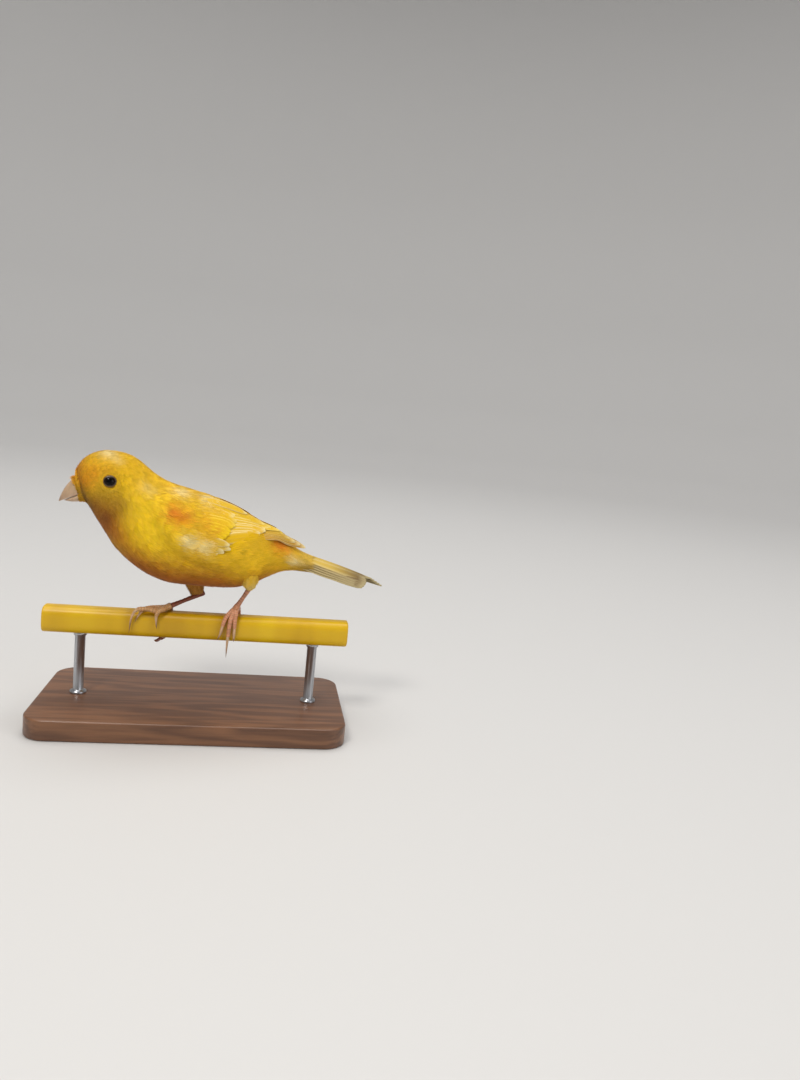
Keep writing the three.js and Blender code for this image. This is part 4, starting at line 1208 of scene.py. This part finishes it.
def leg_colours(points, tone, rng, scutes):
    """The tone, each plate a little different, with painted shade in the crease above it."""
    along = np.linspace(0, 1, len(points)) * scutes
    plates = 1 + rng.normal(0, 0.06, scutes + 1)
    # Painted shade in the creases between the plates
    crease = 1 - 0.38 * bell(along % 1.0, 0.0, 0.16) - 0.12 * bell(along % 1.0, 1.0, 0.16)
    shade = (plates[along.astype(int)] * crease)[:, None] + rng.normal(0, 0.03, points.shape[:-1])
    return np.clip(tone * shade[..., None], 0, 1)


def leg_tube(path, size, outward, sides, tone, rng, scutes):
    """Points, faces and colours of one scaly tube."""
    points, faces = tube(path, size, outward, sides)
    return points, faces, leg_colours(points, tone, rng, scutes)


def make_tarsus(side_name, joint, ankle, rng):
    path = curve_through([ankle + (ankle - joint) * 0.12, (ankle + joint) / 2, joint], 130)
    size = scuted(TARSUS_RADIUS, TARSUS_SCUTES, [1.25, 0.92, 1.2])
    tone = TARSUS_TONES_FAR_SHADED[side_name]
    points, faces, colours = leg_tube(path, size, LEG_FRONT, 18, tone, rng, TARSUS_SCUTES)
    tarsus = mesh_object(f"tarsus_{side_name}_scales", points, faces, LEG, colours=colours)
    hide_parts(f"tarsus_{side_name}")


def toe_and_claw(side_name, toe, joint, rng):
    """Points, faces and colours of a toe, and of its claw."""
    path = curve_through([joint, *(perch_point(*row) for row in LEGS[side_name]["toes"][toe])], 150)
    toe_end = int(len(path) * TOE_SHARE)
    outward = (path - [0, 0, PERCH_AXIS_HEIGHT]) * [0, 1, 1]
    rear = toe == REAR_TOE
    tone = (REAR_TOE_TONES_FAR_SHADED if rear else TOE_TONES)[side_name]
    size = scuted(REAR_TOE_RADIUS if rear else TOE_RADIUS, TOE_SCUTES, [1.2, 1.0, 0.85], 0.22, 4)
    scaly = leg_tube(path[:toe_end], size, outward[:toe_end], 16, tone, rng, TOE_SCUTES)
    points, faces = tube(path[toe_end - 3:], claw_size, outward[toe_end - 3:], 12)
    along = smooth(0.45, 1.0, np.linspace(0, 1, len(points)))[:, None, None] + np.zeros((12, 1))
    # The rear claw starts from the rear toe's tone, which on the far foot is painted shade
    return scaly, (points, faces, blended(tone if rear else CLAW_ROOT, CLAW_TIP, along))


def knuckle_tube(side_name, joint, ankle, rng):
    """Points, faces and colours of the knob where tarsus and toes meet."""
    up = unit(ankle - joint)
    path = curve_through([joint + up * 1.4, joint, joint - up * 1.0], 30)
    size = scuted(1.25, KNUCKLE_SCUTES, [0.85, 1.05, 0.7])
    return leg_tube(path, size, LEG_FRONT, 16, TOE_TONES[side_name], rng, KNUCKLE_SCUTES)


def make_foot(side_name):
    leg = LEGS[side_name]
    rng = np.random.default_rng(51 + SIDES[side_name])
    joint = np.array(leg["joint"]) + [0, 0, PERCH_AXIS_HEIGHT]
    ankle = bird_to_part(leg["ankle"])
    make_tarsus(side_name, joint, ankle, rng)
    toes, claws = zip(*(toe_and_claw(side_name, toe, joint, rng) for toe in leg["toes"]))
    points, faces, colours = joined([*toes, knuckle_tube(side_name, joint, ankle, rng)])
    foot = mesh_object(f"foot_{side_name}_toes", points, faces, LEG, colours=colours)
    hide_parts(f"foot_{side_name}")
    points, faces, colours = joined(claws)
    nails = mesh_object(f"claws_{side_name}", points, faces, CLAW, colours=colours)
    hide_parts(*[f"claw_{side_name}_{toe}" for toe in leg["toes"]])


def shank_surface(side_name):
    """Surface of the feathered shank, which stands forward of the leg's own line."""
    leg = LEGS[side_name]
    middles = [leg["belly"], leg["knee"], leg["ankle"]]
    rows = np.column_stack([middles, SHANK_RADII[side_name]])
    rows[:, 0] -= SHANK_FORWARD[side_name]

    def surface(place, turn):
        middle = table_at(rows, place)
        tangent = unit((table_at(rows, place + 0.02) - table_at(rows, place - 0.02))[..., :3])
        out = unit(FORWARD - tangent * (tangent * FORWARD).sum(-1, keepdims=True))
        across = np.cross(out, tangent)
        spoke = out * np.cos(turn)[..., None] + across * np.sin(turn)[..., None]
        return middle[..., :3] + spoke * middle[..., 3:4]

    return surface


def make_shank(side_name):
    """The feathered shank: skin, and short feathers that end in a loose tuft over the ankle."""
    rng = np.random.default_rng(61 + SIDES[side_name])
    surface = shank_surface(side_name)
    above, tone = SHANK_TONES[side_name]
    rows, sides, count = 40, 32, 460
    place, turn = np.meshgrid(np.linspace(0.3, 1.97, rows), full_turn(sides, -math.pi), indexing="ij")
    points = bird_to_part(surface(place, turn) - surface_frame(surface, place, turn)[0] * 0.45)
    colours = np.broadcast_to(tone * 0.8, points.shape)
    faces = ring_faces(rows, sides)
    skin = mesh_object(f"shank_{side_name}_skin", points, faces, BODY_SKIN, colours=colours)
    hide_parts(f"shank_{side_name}")

    place = np.linspace(0.35, 1.8, count) + rng.normal(0, 0.03, count)
    turn = (np.arange(count) * GOLDEN_ANGLE) % (2 * math.pi) - math.pi
    length = np.interp(place, [0.35, 1.3, 1.8], [4.4, 3.6, 2.2]) * rng.normal(1, 0.16, count)
    width = np.interp(place, [0.35, 1.8], [2.0, 1.2])
    rise = rng.uniform(0.4, 1.1, count)
    lie = rng.normal(0, 0.22, count)
    points = lay_plumes(surface, place, turn, lie, length, width, -0.45, rise, rng, SHANK_BARBS)
    tones = blended(above, tone, smooth(0.35, 1.2, place)[:, None])
    colours = plume_colours(tones, rng, SHANK_BARBS, bloom=0.25)
    plume_object(f"shank_{side_name}_coat", points, colours, plume_patches(place * 8 + 1, turn, SHANK_BARBS))


# Bill

FACE_TOP = np.array(BODY_SECTIONS[0][0:2])
FACE_LOW = np.array(BODY_SECTIONS[0][2:4])
FACE_NORMAL = unit((FACE_LOW - FACE_TOP)[::-1] * [1, -1])
BILL_HALF_WIDTH = 3.9


def face_point(drop, out=0.3):
    """Point in front of the face's flat front, from its top down, as x and z."""
    return blended(FACE_TOP, FACE_LOW, drop) + FACE_NORMAL * out


UPPER_BILL = [
    [*face_point(0, -1.6), *face_point(0.64, -1.6), 3.6],
    [*face_point(0), *face_point(0.64), BILL_HALF_WIDTH],
    [-50.9, 49.9, -48.9, 44.9, 3.5],
    [-52.4, 48.0, -50.6, 44.1, 2.8],
    [-53.7, 45.6, -52.3, 43.3, 1.9],
    [-54.6, 43.3, -53.9, 42.5, 0.9],
    [-54.85, 42.1, -54.8, 42.0, 0.08],
]
LOWER_BILL = [
    [*face_point(1, -1.6), *face_point(0.66, -1.6), 3.4],
    [*face_point(1), *face_point(0.685), 3.6],
    [-48.5, 42.3, -48.9, 44.55, 3.15],
    [-50.3, 42.2, -50.6, 43.75, 2.35],
    [-51.9, 42.35, -52.1, 43.05, 1.35],
    [-52.9, 42.5, -53.0, 42.6, 0.15],
]
BILL_WIDEST = math.radians(118)
BILL_RIDGE = 0.25


def bill_point(rows, place, angle, ridge):
    row = table_at(rows, place)
    top, low, half_width = row[..., 0:2], row[..., 2:4], row[..., 4]
    drop = ((1 - np.cos(angle)) / (1 - math.cos(BILL_WIDEST)))[..., None]
    crest = (ridge * bell(angle, 0, 0.3) * half_width / BILL_HALF_WIDTH)[..., None]
    xz = blended(top, low, drop) + unit(top - low) * crest
    return np.stack([xz[..., 0], half_width * np.sin(angle), xz[..., 1]], -1)


def bill_half(name, rows, ridge, base_tone, tip_tone):
    """One half of the bill as an object, shut by its flat faces at the root and the tip."""
    steps, around = 56, 41
    turns = np.linspace(-BILL_WIDEST, BILL_WIDEST, around)
    place, angle = np.meshgrid(np.linspace(0, len(rows) - 1, steps), turns, indexing="ij")
    points = bird_to_part(bill_point(rows, place, angle, ridge))
    along = smooth(0.2, 1.0, np.clip((place - 1) / (len(rows) - 2), 0, 1))
    edge = smooth(0.75, 1.0, np.abs(angle) / BILL_WIDEST)
    colours = blended(base_tone, tip_tone, along[..., None])
    colours = blended(colours, srgb(226, 200, 172), 0.4 * edge[..., None])
    faces = ring_faces(steps, around, flip=rows is LOWER_BILL)
    return mesh_object(name, points, faces, BILL, colours=colours)


def make_bill():
    upper = bill_half("upper_bill_horn", UPPER_BILL, BILL_RIDGE, srgb(194, 162, 128), srgb(170, 140, 112))
    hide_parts("upper_bill")
    lower = bill_half("lower_bill_horn", LOWER_BILL, 0.0, srgb(198, 168, 136), srgb(180, 150, 122))
    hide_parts("lower_bill")


def ring_mesh(centre, normal, rows, sides, shape):
    """Rings round an axis, each point given by shape(row share, turn) as radius and height."""
    helper = np.array([0.0, 0.0, 1.0]) if abs(normal[2]) < 0.9 else np.array([1.0, 0.0, 0.0])
    across = unit(np.cross(helper, normal))
    other = np.cross(normal, across)
    row, turn = np.meshgrid(np.linspace(0, 1, rows), full_turn(sides), indexing="ij")
    radius, height = shape(row, turn)
    spoke = across * np.cos(turn)[..., None] + other * np.sin(turn)[..., None]
    return centre + spoke * radius[..., None] + normal * height[..., None], row


def nostril_shape(row, turn):
    """A low rim round a pit."""
    height = 0.04 * bell(row, 0.2, 0.2) - 0.35 * smooth(0.3, 1.0, row)
    return (0.5 - 0.46 * row) * (1 + 0.25 * np.cos(turn) ** 2), height + 0.02


def make_nostrils():
    rows, sides, step = 10, 24, 0.02
    pieces = []
    for side in SIDES.values():
        place, angle = np.array(1.45), np.array(side * math.radians(58))
        centre = bill_point(UPPER_BILL, place, angle, BILL_RIDGE)
        ahead = bill_point(UPPER_BILL, place + step, angle, BILL_RIDGE) - centre
        around = bill_point(UPPER_BILL, place, angle + step, BILL_RIDGE) - centre
        normal = unit(np.cross(around, ahead))
        normal = normal * np.sign(normal[1] * side)
        points, row = ring_mesh(centre, normal, rows, sides, nostril_shape)
        faces = [grid_faces(rows, sides, closed=True), (np.arange(sides) + sides * (rows - 1))[None]]
        shade = smooth(0.1, 0.4, row)[..., None]
        pieces.append((points, faces, blended(srgb(180, 148, 118), srgb(44, 28, 22), shade)))
    points, faces, colours = joined(pieces)
    mesh_object("nostrils", bird_to_part(points), faces, BILL, colours=colours)


# Eyes and lids

def ball_shape(row, turn):
    polar = row * math.radians(120)
    size = EYE_RADIUS * (1 + 0.03 * bell(polar, 0, 0.6))
    return size * np.sin(polar) + 1e-4, size * np.cos(polar)


def lid_shape(row, turn):
    """A beaded lip round an almond opening, sunk into the face at its outer edge."""
    almond = 1 + 0.12 * np.cos(2 * turn)
    polar = np.radians(36.5 * almond + 40 * row)
    lip = 0.04 + 0.15 * bell(row, 0.25, 0.2) - 0.15 * smooth(0.5, 1.0, row)
    beads = 0.022 * (np.cos(31 * turn) + np.cos(19 * turn + 1)) * bell(row, 0.35, 0.25)
    size = EYE_RADIUS + lip + beads
    return size * np.sin(polar), size * np.cos(polar)


def make_eye(side_name):
    rows, sides = 40, 64
    points, row = ring_mesh(*EYES[side_name][:2], rows, sides, ball_shape)
    polar = row * 120
    iris = (smooth(20, 26, polar) * (1 - smooth(36, 46, polar)))[..., None]
    colours = blended(srgb(5, 4, 4), srgb(24, 13, 9), iris)
    colours = blended(colours, srgb(14, 9, 7), smooth(36, 44, polar)[..., None])
    faces = [grid_faces(rows, sides, closed=True), np.arange(sides)[::-1][None]]
    eye = mesh_object(f"eye_{side_name}_ball", bird_to_part(points), faces, EYE, colours=colours)
    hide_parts(f"eye_{side_name}")


def make_eyelid(side_name):
    rows, sides = 14, 110
    points, row = ring_mesh(*EYES[side_name][:2], rows, sides, lid_shape)
    colours = blended(srgb(44, 34, 24), srgb(136, 100, 36), smooth(0.06, 0.3, row)[..., None])
    faces = [grid_faces(rows, sides, closed=True)[:, ::-1]]
    mesh_object(f"eyelid_{side_name}", bird_to_part(points), faces, LEG, colours=colours)


# Perch and stand

def make_perch():
    sides, steps, rounding, margin = 96, 60, 0.7, 2
    half = PERCH_LENGTH / 2
    ends = np.array([0.0, 0.12, 0.35, 0.7, 1.0])
    shrink = 1 - rounding / PERCH_HEIGHT * 2 * (1 - np.sqrt(1 - (1 - ends) ** 2))
    along = np.linspace(-half + margin, half - margin, steps)
    x = np.concatenate([-half + rounding * ends, along, half - rounding * ends[::-1]])[:, None]
    scale = np.concatenate([shrink, np.ones(steps), shrink[::-1]])[:, None]
    side, up = perch_outline(full_turn(sides))
    y, z = side * PERCH_DEPTH / 2, up * PERCH_HEIGHT / 2
    points = np.stack(np.broadcast_arrays(x, scale * y, PERCH_AXIS_HEIGHT + scale * z), -1)
    perch = mesh_object("perch_bar", points, ring_faces(len(x), sides), perch_material())
    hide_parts("perch")


def make_base():
    """Slab with round corners and a rounded edge above and below."""
    corner_steps, bevel_steps = 16, 6
    spokes, middles = [], []
    for quarter, (sx, sy) in enumerate([(1, 1), (-1, 1), (-1, -1), (1, -1)]):
        angle = math.pi / 2 * (quarter + np.linspace(0, 1, corner_steps))
        spokes.append(np.stack([np.cos(angle), np.sin(angle)], -1))
        corner = [sx * (BASE_LENGTH / 2 - BASE_CORNER), sy * (BASE_WIDTH / 2 - BASE_CORNER)]
        middles.append(np.broadcast_to(corner, (corner_steps, 2)))
    spokes, middles = np.concatenate(spokes), np.concatenate(middles)
    bend = np.radians(np.linspace(0, 90, bevel_steps))
    inset = BASE_BEVEL * (1 - np.sin(bend))
    rise = BASE_BEVEL * (1 - np.cos(bend))
    levels = [*zip(inset, rise), *zip(inset[::-1], BASE_THICKNESS - rise[::-1])]
    rings = [
        np.column_stack([middles + spokes * (BASE_CORNER - step_in), np.full(len(spokes), height)])
        for step_in, height in levels
    ]
    faces = ring_faces(len(levels), len(spokes), flip=True)
    base = mesh_object("stand_base_slab", rings, faces, wood_material())
    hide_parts("stand_base")


def turned_rings(profile, sides):
    """Rings round the upright axis from a profile's radii and heights."""
    turn = full_turn(sides)
    circle = np.stack([np.cos(turn), np.sin(turn), np.zeros(sides)], -1)
    return np.array([circle * radius + [0, 0, height] for radius, height in profile])


def make_rods():
    sides, sunk = 48, 0.3
    steel = steel_material()
    low = BASE_THICKNESS - sunk
    high = PERCH_AXIS_HEIGHT - PERCH_HEIGHT / 2 + sunk
    profile = [
        (1.1, low), (1.2, low + 0.6), (1.1, low + 1.1), (0.15, low + 1.5), (0, low + 1.8),
        (0, high - 1.6), (0.5, high - 1.3), (0.6, high - 0.4), (0.5, high),
    ]
    rings = turned_rings([(ROD_RADIUS + wider, z) for wider, z in profile], sides)
    for index, side in ((1, -1), (2, 1)):
        points = rings + [side * ROD_SPACING / 2, 0, 0]
        faces = ring_faces(len(profile), sides, flip=True)
        rod = mesh_object(f"stand_rod_{index}_steel", points, faces, steel)
        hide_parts(f"stand_rod_{index}")


# Surroundings

CAMERA_PLACE = [21.08, -327.33, 125.85]
CAMERA_TURN = math.radians(9.964)
CAMERA_PITCH = math.radians(8)
CAMERA_ROLL = math.radians(5.698)
FOCAL_PIXELS = 807
PHOTO_HEIGHT = 1080
SENSOR = 36.0


def make_camera():
    data = bpy.data.cameras.new("camera")
    data.sensor_fit = "VERTICAL"
    data.sensor_height = SENSOR
    data.lens = SENSOR * FOCAL_PIXELS / PHOTO_HEIGHT
    data.clip_start = 0.01
    data.clip_end = 20
    camera = new_object("camera", data)
    theta, pitch, roll = CAMERA_TURN, CAMERA_PITCH, CAMERA_ROLL
    level = math.cos(pitch)
    forward = Vector((math.sin(theta) * level, math.cos(theta) * level, -math.sin(pitch)))
    right = Vector((math.cos(theta), -math.sin(theta), 0))
    up = right.cross(forward)
    rolled_right = right * math.cos(roll) + up * math.sin(roll)
    rolled_up = up * math.cos(roll) - right * math.sin(roll)
    rotation = Matrix((rolled_right, rolled_up, -forward)).transposed().to_4x4()
    camera.matrix_world = Matrix.Translation(Vector(CAMERA_PLACE) * MM) @ rotation
    bpy.context.scene.camera = camera


def make_floor():
    """A round pale floor that curves up into a low backdrop."""
    radii = [0.02, 0.3, 0.7, 1.2, 1.6, 1.9, 2.2, 2.5, 2.7, 2.8, 2.82]
    heights = [0, 0, 0, 0, 0.01, 0.06, 0.2, 0.5, 0.95, 1.6, 2.6]
    sides = 96
    points = turned_rings(zip(radii, heights), sides).reshape(-1, 3)
    faces = [*grid_faces(len(radii), sides, closed=True)[:, ::-1].tolist(), list(range(sides))]
    mesh = bpy.data.meshes.new("floor")
    mesh.from_pydata(points.tolist(), [], faces)
    mesh.polygons.foreach_set("use_smooth", [True] * len(mesh.polygons))
    mesh.materials.append(floor_material())
    floor = new_object("floor", mesh)


def area_light(name, place, target, size, power, colour=(1, 1, 1)):
    data = bpy.data.lights.new(name, "AREA")
    data.shape = "DISK"
    data.size = size
    data.energy = power
    data.color = colour
    light = new_object(name, data)
    light.location = place
    direction = Vector(target) - Vector(place)
    light.rotation_euler = direction.to_track_quat("-Z", "Y").to_euler()
    light.visible_camera = False


def make_lights():
    target = (0, 0, 0.07)
    area_light("key", (-0.4, -0.7, 1.0), target, 0.35, 6.4, (1.0, 0.97, 0.92))
    area_light("fill", (0.9, -0.7, 0.4), target, 0.7, 2.2, (0.98, 0.98, 1.0))
    area_light("top", (0.1, 0.3, 2.3), (0, 0, 0), 2.2, 38)
    world = bpy.data.worlds.new("studio")
    bpy.context.scene.world = world
    world.use_nodes = True
    background = world.node_tree.nodes["Background"]
    background.inputs["Color"].default_value = (0.93, 0.95, 1.0, 1)
    background.inputs["Strength"].default_value = 0.38
    bpy.context.scene.view_settings.view_transform = "Standard"


make_camera()
make_floor()
make_lights()
make_skin()
make_coat()
for name in SIDES:
    make_wing(name)
    make_foot(name)
    make_shank(name)
    make_eye(name)
    make_eyelid(name)
    make_eye_tufts(name)
make_tail()
make_bill()
make_nostrils()
make_bill_tufts()
make_perch()
make_base()
make_rods()
